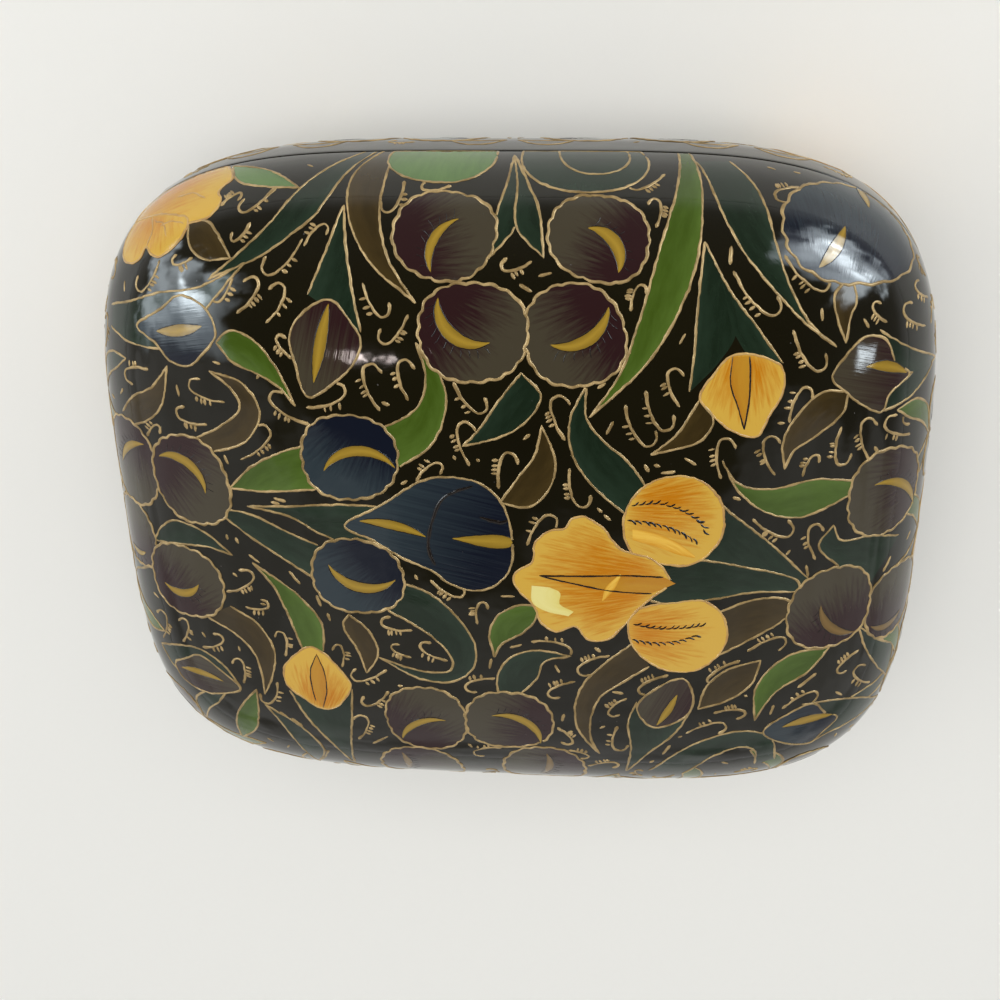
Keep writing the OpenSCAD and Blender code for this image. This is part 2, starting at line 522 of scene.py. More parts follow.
class FlatSurface:
    """One side of the box laid flat: tables of radius and height for a direction and a distance."""

    step = 0.25

    def __init__(self, profile, margin):
        self.margin = margin
        shares = profile[:, 0] / half_w
        heights = profile[:, 2]
        radii, self.lengths = [], []
        size = 0
        for reach in outline_reach(directions):
            radius = reach * shares
            gaps = np.hypot(np.diff(radius), np.diff(heights))
            gone = np.concatenate([[0], np.cumsum(gaps)])
            self.lengths.append(gone[-1])
            radii.append((gone, radius))
            size = max(size, int(gone[-1] / self.step) + 3)
        at = np.arange(size) * self.step
        self.radius = np.array([np.interp(at, gone, radius) for gone, radius in radii])
        self.height = np.array([np.interp(at, gone, heights) for gone, radius in radii])
        self.lengths = np.array(self.lengths)

    def place(self, turn, distance, lift):
        """Points in metres on the box, some lift above the lacquer, and the way that faces out there."""
        turn = np.mod(turn, 2 * math.pi)
        limit = np.interp(turn, directions, self.lengths) - self.margin
        distance = np.minimum(distance, limit)
        across = turn / (2 * math.pi) * (direction_count - 1)
        column = np.clip(across.astype(int), 0, direction_count - 2)
        side = across - column
        down = distance / self.step
        row = np.clip(down.astype(int), 0, self.radius.shape[1] - 2)
        part = down - row

        def read(table):
            near = table[column, row] * (1 - part) + table[column, row + 1] * part
            far = table[column + 1, row] * (1 - part) + table[column + 1, row + 1] * part
            return near * (1 - side) + far * side

        radius, z = read(self.radius), read(self.height)
        x, y = radius * np.cos(turn), radius * np.sin(turn)
        outward = facing(x, y, z)
        return (np.stack([x, y, z], axis=-1) + outward * lift) * MM, outward


def facing(x, y, z):
    """The direction square to the lacquer at points on it."""
    x_part, y_part = np.abs(x / half_w) ** outline_power, np.abs(y / half_d) ** outline_power
    level = (x_part + y_part) ** (1 / outline_power)
    level = np.maximum(level, 1e-4)
    upper = z >= widest_z
    power = np.where(upper, crown_power, belly_power)
    rise = np.abs(z - widest_z)
    height = np.where(upper, crown_h, belly_close)
    pull = level ** (power - outline_power)
    gx = pull * np.sign(x) * np.abs(x) ** (outline_power - 1) / half_w ** outline_power
    gy = pull * np.sign(y) * np.abs(y) ** (outline_power - 1) / half_d ** outline_power
    gz = np.where(upper, 1, -1) * rise ** (power - 1) / height ** power
    out = np.stack([gx, gy, gz], axis=-1)
    out /= np.linalg.norm(out, axis=-1, keepdims=True)
    rubbed = np.where(z > seam_z, np.clip(1 - (z - seam_z) / lid_edge_h, 0, 1), 0)
    out[..., 2] -= rubbed * 2 * lid_edge_in / lid_edge_h
    return out / np.linalg.norm(out, axis=-1, keepdims=True)


class Sheet:
    """The drawing for one side of the box: its films of paint, its lines and the outlines that cover."""

    cell = 0.5

    def __init__(self, body, surface, to_surface, low, high, seed):
        self.body = body
        self.surface = surface
        self.to_surface = to_surface
        self.low = np.array(low, float)
        self.taken = np.zeros(np.ceil((np.array(high) - self.low) / self.cell).astype(int), bool)
        self.films = {}
        self.lines = []
        self.covers = []
        self.random = np.random.default_rng(seed)

    def order(self):
        return len(self.covers)

    def lay(self, points, lift):
        turn, distance = self.to_surface(points[..., 0], points[..., 1])
        return self.surface.place(turn, distance, lift)

    def layer_of(self, outline):
        """How many films lie under this outline, so that each film lies above those it overlaps."""
        low, high = outline.min(axis=0), outline.max(axis=0)
        layer = 0
        for other, other_layer in self.covers:
            if (other.min(axis=0) > high).any() or (other.max(axis=0) < low).any():
                continue
            if inside(outline, other).any() or inside(other, outline).any():
                layer = max(layer, other_layer + 1)
        return layer

    def cells(self, points):
        """The squares of the sheet that points fall in."""
        at = np.round((points - self.low) / self.cell).astype(int)
        return tuple(np.clip(at, 1, np.array(self.taken.shape) - 2).T)

    def take(self, points):
        """Marks the ground round the points of a line as used."""
        column, row = self.cells(points)
        for i in (-1, 0, 1):
            for j in (-1, 0, 1):
                self.taken[column + i, row + j] = True

    def take_inside(self, outline):
        """Marks the ground under a film as used."""
        low, high = outline.min(axis=0), outline.max(axis=0)
        across = np.arange(low[0], high[0], self.cell)
        down = np.arange(low[1], high[1], self.cell)
        spots = np.stack(np.meshgrid(across, down, indexing="ij"), axis=-1).reshape(-1, 2)
        self.taken[self.cells(spots[inside(spots, outline)])] = True

    def bare(self, points):
        """Whether none of these points lies on a film or close to a line that is drawn already."""
        return not self.taken[self.cells(points)].any()


film_lift = 0.02
film_gap = 0.012


def lid_direction(x, y):
    return np.arctan2(y, x), np.hypot(x, y)


outline_turns = np.linspace(0, 2 * math.pi, 1441)
outline_ways = np.stack([np.cos(outline_turns), np.sin(outline_turns)], axis=1)
outline_points = outline_reach(outline_turns)[:, None] * outline_ways
outline_steps = np.linalg.norm(np.diff(outline_points, axis=0), axis=1)
outline_lengths = np.concatenate([[0], np.cumsum(outline_steps)])
girth = outline_lengths[-1]
side_bare = 2.2
side_squeeze = 0.95


def side_direction(along, down):
    """Round the tub's widest line from its right-hand side, and down from a little below the joint."""
    turn = np.interp(np.mod(along, girth), outline_lengths, outline_turns)
    return turn, side_bare - down * side_squeeze


lid_margin = 0.15
side_margin = 0.5
lid_surface = FlatSurface(np.array([*upper_face, *edge_face]), lid_margin)
side_surface = FlatSurface(side_profile(0, seam_z, 0), side_margin)
lid_sheet = Sheet("lid", lid_surface, lid_direction, (-80, -80), (80, 80), seed=11)
side_sheet = Sheet("base", side_surface, side_direction, (-10, -60), (girth + 10, 5), seed=29)
film_step = 0.45
points_between = 24


def curve_through(points, step=film_step, closed=False):
    """A smooth line through a few points on the drawing."""
    points = np.asarray(points, float)
    if closed:
        points = np.concatenate([points[-1:], points, points[:2]])
    else:
        first = 2 * points[0] - points[1]
        last = 2 * points[-1] - points[-2]
        points = np.concatenate([[first], points, [last]])
    pieces = []
    for before, start, end, after in zip(points, points[1:], points[2:], points[3:]):
        spans = (start - before, end - start, after - end)
        knots = np.cumsum([0] + [max(np.linalg.norm(span), 1e-6) ** 0.5 for span in spans])
        at = np.linspace(knots[1], knots[2], points_between)[:, None]

        def blend(a, b, from_knot, to_knot):
            return ((to_knot - at) * a + (at - from_knot) * b) / (to_knot - from_knot)

        first = blend(before, start, knots[0], knots[1])
        second = blend(start, end, knots[1], knots[2])
        third = blend(end, after, knots[2], knots[3])
        near = blend(first, second, knots[0], knots[2])
        far = blend(second, third, knots[1], knots[3])
        pieces.append(blend(near, far, knots[1], knots[2]))
    return even_steps(np.concatenate(pieces), step)


def inside(points, outline):
    """Which points lie inside a closed outline."""
    x, y = points[:, 0, None], points[:, 1, None]
    ax, ay = outline[None, :, 0], outline[None, :, 1]
    bx, by = np.roll(ax, -1, axis=1), np.roll(ay, -1, axis=1)
    crosses = (ay > y) != (by > y)
    with np.errstate(divide="ignore", invalid="ignore"):
        at = ax + (y - ay) * (bx - ax) / (by - ay)
    return (crosses & (x < at)).sum(axis=1) % 2 == 1


def heading(turn):
    """The direction at an angle in degrees."""
    return np.array([math.cos(math.radians(turn)), math.sin(math.radians(turn))])


def square_to(run):
    """The direction a quarter turn on from another, or from each of many."""
    return np.stack([-run[..., 1], run[..., 0]], axis=-1)


def runs_of(line):
    """The direction of a line at each of its points, and the direction square to it."""
    run = np.gradient(line, axis=0)
    run /= np.linalg.norm(run, axis=1, keepdims=True)
    return run, square_to(run)


def turned_round(x, y, turn):
    """A function that turns points about the origin by an angle in degrees and moves them to a place."""
    c, s = math.cos(math.radians(turn)), math.sin(math.radians(turn))

    def turned(*points):
        return [(x + px * c - py * s, y + px * s + py * c) for px, py in points]

    return turned


# The painter's marks
# Every mark is drawn in millimetres on a sheet: flat films of body colour for petals and leaves, and
# raised lines of thick gold or dark paint along them. A film hides the lines of what lies under it.
line_step = 0.36
rim_step = 0.5
stroke_step = 0.3
comb_step = 0.25
tick_step = 0.12
strip_columns = 7
disc_rings = 9
crescent_columns = 5
petal_power = 2.3
fan_reach = 2.3
comb_gap = 1.0
comb_width = 0.3
comb_tick = 1.25
gold_width = 0.38
rim_width = 0.46
hook_width = 0.44
ochre_width = 0.34
dark_width = 0.14


def add_line(sheet, points, width, colour, wobble=0.05, taper=0.5, order=None, pool=0):
    """A brush line: its points wander a little, and it thins at its ends, or pools there."""
    points = even_steps(points, line_step)
    count = len(points)
    wave = sheet.random.normal(0, 1, (2, count + 2))
    wave = np.stack([np.convolve(row, (0.2, 0.6, 0.2), mode="valid") for row in wave], axis=1)
    points = points + wave * wobble
    swell = np.convolve(sheet.random.normal(0, 1, count + 4), np.ones(5) / 5, mode="valid")
    widths = width * np.clip(1 + 0.34 * swell, 0.6, 1.6)
    length = np.arange(count) * line_step
    ends = np.minimum(length, length[::-1]) / max(taper, 1e-6)
    widths = widths * np.clip(0.35 + 0.65 * ends, 0.35, 1)
    widths = widths * (1 + pool * np.exp(-((ends * taper / 0.5 - 0.5) ** 2)))
    sheet.lines.append((points, widths, colour, sheet.order() if order is None else order))
    sheet.take(points)


def draw_round(sheet, outline, width, colour, **settings):
    """A brush line all the way round a closed outline, with its ends laid over each other."""
    add_line(sheet, np.concatenate([outline, outline[:2]]), width, colour, **settings)


def add_film(sheet, colour, grid, outline, strokes, shade):
    """A film of paint from a grid of points, with the run of its brush strokes and its shade."""
    layer = sheet.layer_of(outline)
    sheet.covers.append((outline, layer))
    sheet.take_inside(outline)
    lift = film_lift + film_gap * layer
    sheet.films.setdefault(colour, []).append((grid, lift, strokes, shade))


def strip(sheet, colour, left, right, shade=0.5):
    """A film between two lines that run the same way."""
    left, right = curve_through(left), curve_through(right)
    count = max(len(left), len(right))
    at = np.linspace(0, 1, count)

    def spread(line):
        own = np.linspace(0, 1, len(line))
        return np.stack([np.interp(at, own, line[:, 0]), np.interp(at, own, line[:, 1])], axis=1)

    left, right = spread(left), spread(right)
    part = np.linspace(0, 1, strip_columns)[None, :, None]
    grid = left[:, None, :] * (1 - part) + right[:, None, :] * part
    outline = np.concatenate([left, right[::-1]])
    breadth = np.linalg.norm(left - right, axis=1)[:, None]
    along = np.broadcast_to(at[:, None] * count * film_step, (count, strip_columns))
    strokes = np.stack([part[..., 0] * breadth, along], axis=-1)
    edge = np.abs(part[..., 0] * 2 - 1) ** 3
    lean = sheet.random.choice([-1, 1]) * (part[..., 0] - 0.5)
    tone = edge * shade * 0.7 + lean * 0.6 + at[:, None] * 0.4
    add_film(sheet, colour, grid, outline, strokes, np.clip(tone, -0.2, 1))
    return left, right


def leaf(sheet, colour, left, right, lines="both"):
    """A leaf: a film of green or brown with a gold line along each edge."""
    left, right = strip(sheet, colour, left, right)
    if lines in ("both", "left"):
        add_line(sheet, left, gold_width, "gold")
    if lines in ("both", "right"):
        add_line(sheet, right, gold_width, "gold")


def disc_film(sheet, colour, middle, outline, strokes_of, shade_of):
    """A film of paint inside a closed outline, on rings drawn in from it to its middle."""
    part = np.linspace(0, 1, disc_rings)[:, None, None]
    closed = np.concatenate([outline, outline[:1]])
    grid = np.asarray(middle)[None, None, :] * (1 - part) + closed[None, :, :] * part
    add_film(sheet, colour, grid, outline, strokes_of(grid), shade_of(grid, part[..., 0]))


def scalloped(sheet, x, y, half_across, half_up, tilt, scallops=19, depth=0.042):
    """The outline of a petal: a full oval with a soft frilled edge."""
    turns = np.linspace(0, 2 * math.pi, 144, endpoint=False)
    start = sheet.random.uniform(0, math.pi)
    frill = np.abs(np.sin(turns * scallops / 2 + start)) * depth
    wander = 0.02 * np.sin(2 * turns + start * 3) + 0.015 * np.sin(3 * turns + start * 5)
    x_part, y_part = np.abs(np.cos(turns)) ** petal_power, np.abs(np.sin(turns)) ** petal_power
    full = (x_part + y_part) ** (-1 / petal_power)
    size = full * (1 - depth / 2 + frill + wander)
    rim = zip(np.cos(turns) * half_across * size, np.sin(turns) * half_up * size)
    return np.array(turned_round(x, y, tilt)(*rim))


def circle_through(a, b, c):
    """The centre and radius of the circle through three points."""
    a, b, c = (np.array(point, float) for point in (a, b, c))
    chords = np.array([b - a, c - a])
    halves = np.array([(b @ b - a @ a) / 2, (c @ c - a @ a) / 2])
    centre = np.linalg.solve(chords, halves)
    return centre, float(np.linalg.norm(a - centre))


def arc_through(start, middle, end):
    """Points along the circle through three points, or along the line where they lie nearly in line."""
    start, middle, end = (np.array(point, float) for point in (start, middle, end))
    chord = end - start
    bow = abs(chord[0] * (middle - start)[1] - chord[1] * (middle - start)[0]) / (chord @ chord)
    if bow < 0.03:
        return curve_through([start, middle, end], stroke_step)
    centre, radius = circle_through(start, middle, end)
    spins = [math.atan2(*(point - centre)[::-1]) for point in (start, middle, end)]
    to_middle = math.remainder(spins[1] - spins[0], 2 * math.pi)
    to_end = to_middle + math.remainder(spins[2] - spins[1], 2 * math.pi)
    count = max(8, int(abs(to_end) * radius / stroke_step))
    spin = spins[0] + np.linspace(0, to_end, count)
    return centre + radius * np.stack([np.cos(spin), np.sin(spin)], axis=1)


def crescent(sheet, colour, points, width, blunt=1.0):
    """A stripe of paint along an arc, thin at both ends, with a dark line on either side."""
    line = arc_through(*points)
    square = runs_of(line)[1]
    at = np.linspace(0, 1, len(line))
    half = width * 0.6 * np.clip(np.sin(math.pi * at ** blunt), 0.001, 1) ** 0.75
    left, right = line + square * half[:, None], line - square * half[:, None]
    part = np.linspace(0, 1, crescent_columns)[None, :]
    grid = left[:, None, :] * (1 - part[..., None]) + right[:, None, :] * part[..., None]
    rows = np.ones((len(line), 1))
    along = at[:, None] * 9 * np.ones((1, crescent_columns))
    strokes = np.stack([part * width * rows, along], axis=-1)
    outline = np.concatenate([left, right[::-1]])
    add_film(sheet, colour, grid, outline, strokes, np.abs(part - 0.5) * 2 * rows)
    add_line(sheet, left[1:-1], dark_width, "dark", wobble=0.03)
    add_line(sheet, right[1:-1], dark_width, "dark", wobble=0.03)
    return line, half


def lashes(sheet, line, half, away_from):
    """Fine dark strokes that stand out along one side of a crescent."""
    run, square = runs_of(line)
    middle = len(line) // 2
    way = np.sign(square[middle] @ (line[middle] - away_from))
    for at in range(3, len(line) - 2, 3):
        root = line[at] + square[at] * way * (half[at] + 0.15)
        long = sheet.random.uniform(0.8, 1.5)
        tip = root + square[at] * way * long + run[at] * sheet.random.uniform(0.1, 0.7)
        add_line(sheet, [root, (root + tip) / 2 + run[at] * 0.1, tip], dark_width, "dark", wobble=0.03)


def fan_strokes(middle, way, size):
    """Brush strokes that spread over a petal from a place well behind it."""
    fan = middle - way * size * fan_reach

    def strokes_of(grid):
        away = grid - fan
        lean = np.arctan2(away @ square_to(way), away @ way)
        return np.stack([lean * size * fan_reach, np.linalg.norm(away, axis=-1)], axis=-1)

    return strokes_of


def petal(sheet, colour, x, y, half_across, half_up, tilt, arc, width, pale_turn):
    """An iris petal: a frilled oval, dark on one side and pale on the other, with a mustard crescent."""
    outline = scalloped(sheet, x, y, half_across, half_up, tilt)
    size = (half_across + half_up) / 2
    middle = np.array([x, y])
    pale_way = heading(pale_turn)

    def shade_of(grid, part):
        lean = ((grid - middle) @ pale_way) / size
        return np.clip(0.42 + 1.15 * lean + 0.1 * part ** 3, -0.3, 1.3)

    disc_film(sheet, colour, middle, outline, fan_strokes(middle, pale_way, size), shade_of)
    order = sheet.order()
    # Crescents low on the lid's front flank and on its lower right flank take a darker mustard: painted
    # shade for the less light that falls there.
    shaded_crescent = sheet is lid_sheet and (y < -40 or (x > 45 and y < 0))
    line, half = crescent(sheet, "shaded_mustard" if shaded_crescent else "mustard", arc, width)
    if colour == "plum":
        lashes(sheet, line, half, (line[0] + line[-1]) / 2)
    draw_round(sheet, outline, rim_width, "gold", order=order)


def bud(sheet, colour, points, stripe, width, pale_turn):
    """A closed bud: a pointed film of petal colour with one straight stripe."""
    outline = curve_through(points, rim_step, closed=True)
    middle = outline.mean(axis=0)
    size = np.linalg.norm(outline - middle, axis=1).mean()
    first, last = np.array(stripe[0], float), np.array(stripe[-1], float)
    run = (last - first) / np.linalg.norm(last - first)
    pale_way = heading(pale_turn)

    def strokes_of(grid):
        away = grid - first
        return np.stack([away @ square_to(run), (away @ run) * 0.2], axis=-1)

    def shade_of(grid, part):
        return np.clip(0.5 + 0.6 * ((grid - middle) @ pale_way) / size, 0, 1)

    disc_film(sheet, colour, middle, outline, strokes_of, shade_of)
    order = sheet.order()
    crescent(sheet, "mustard", stripe, width)
    draw_round(sheet, outline, gold_width, "gold", order=order)


def yellow_petal(sheet, points, glow, root=None):
    """A petal of the yellow iris: pale at its rim, deep orange round one place, hatched from its root."""
    outline = curve_through(points, rim_step, closed=True)
    middle = outline.mean(axis=0)
    size = np.linalg.norm(outline - middle, axis=1).mean()
    glow = np.asarray(glow, float)
    root = glow if root is None else np.asarray(root, float)
    way = (middle - root) / np.linalg.norm(middle - root)

    def shade_of(grid, part):
        near = np.linalg.norm(grid - glow, axis=-1) / size
        return np.clip(1.2 - 0.72 * near, -0.1, 0.95) - 0.7 * part ** 7

    disc_film(sheet, "yellow", middle, outline, fan_strokes(middle, way, size), shade_of)
    draw_round(sheet, outline, ochre_width, "ochre", wobble=0.06)


def stroke(sheet, *points, width, colour, wobble=0.04):
    """One free line through a few points."""
    add_line(sheet, curve_through(points, stroke_step), width, colour, wobble=wobble)


def comb(sheet, *points, side):
    """A row of short dark strokes, each starting on a line and turning off it to one side."""
    line = curve_through(points, comb_step)
    run, square = runs_of(line)
    for at in range(0, len(line) - 1, round(comb_gap / comb_step)):
        out = square[at] * side
        long = comb_tick * sheet.random.uniform(0.85, 1.1)
        bend = line[at] + out * long * 0.04 + run[at] * long * 0.55
        tip = line[at] + out * long * 0.46 + run[at] * long
        drawn = curve_through([line[at], bend, tip], tick_step)
        add_line(sheet, drawn, comb_width, "dark", wobble=0.02, taper=0.35)


def dash(sheet, x, y, to_x, to_y, width=0.5):
    """A short gold stroke between the flowers."""
    add_line(sheet, [(x, y), (to_x, to_y)], width, "gold", wobble=0.03, taper=0.35, order=0)


def hook(sheet, x, y, head_x, head_y, curl, ticks):
    """A gold hook: a stem that curls over at its head, with short ticks on the outside of the curl."""
    tail, head = np.array([x, y], float), np.array([head_x, head_y], float)
    length = np.linalg.norm(head - tail)
    run = (head - tail) / length
    turn = square_to(run) * curl
    bow = length * 0.07
    radius = min(1.25, 0.24 * length)
    stem = [tail, (tail + head) / 2 - turn * bow]
    bend = [
        head + turn * radius * (1 - math.cos(a)) + run * radius * math.sin(a)
        for a in (0, math.pi * 0.35, math.pi * 0.68, math.pi)
    ]
    lip = bend[-1] - run * radius * 0.55 + turn * radius * 0.1
    drawn = curve_through([*stem, *bend, lip], stroke_step)
    add_line(sheet, drawn, hook_width, "gold", taper=0.25, order=0, pool=0.35)
    for k in range(ticks):
        part = 0.52 + 0.42 * (k + 0.3 * sheet.random.uniform(-1, 1)) / max(ticks - 1, 1)
        root = tail + run * length * part - turn * (bow * 0.8 + 0.15)
        out = root - turn * sheet.random.uniform(0.75, 1.05) - run * sheet.random.uniform(0, 0.25)
        add_line(sheet, [root, out], hook_width * 1.1, "gold", wobble=0.02, taper=0.15, order=0)


# The flanks of the lid
# Smaller flowers of two petals, each with a pair of leaves, turn the pattern down over the lid's sides
# to the joint. The large leaves and flowers of the crown are painted over their tips.
top = lid_sheet
for x, y, turn, colour in (
    (-38, -55, 30, "blue"), (-19.5, -58, 100, "yellow"), (10, -58.5, 80, "plum"), (30, -56, 120, "yellow"),
    (47, -50, 150, "plum"), (-56, -42, 20, "plum"), (70, 14, 180, "blue"), (71, -4, 170, "yellow"),
    (-70, 19, 0, "yellow"), (-71, -1, 10, "blue"), (-70, -16, 0, "plum"), (68, -28, 160, "plum"),
):
    turned = turned_round(x, y, turn)
    for paint, left, right in (
        ("green", [(3, 0), (5, 5.5), (9, 7.5), (13, 7)], [(3, 0), (7, 3.5), (10, 5), (13, 7)]),
        ("bright", [(3, 0), (5, -5), (9, -7), (13, -6)], [(3, 0), (7, -3), (10, -4.2), (13, -6)]),
    ):
        leaf(top, paint, turned(*left), turned(*right))
    for px, py in ((-1.2, 4), (-1.2, -4)):
        (cx, cy), = turned((px, py))
        if colour == "yellow":
            turns = np.linspace(0, 2 * math.pi, 10, endpoint=False)
            rim = np.stack([cx + 4.6 * np.cos(turns), cy + 4.4 * np.sin(turns)], axis=1)
            yellow_petal(top, rim, turned((4, 0))[0])
        else:
            arc = turned((px + 2.8, py * 0.4), (px - 0.4, py), (px - 1.4, py * 1.7))
            petal(top, colour, cx, cy, 4.8, 4.6, 0, arc, 1.1, turn + 180)

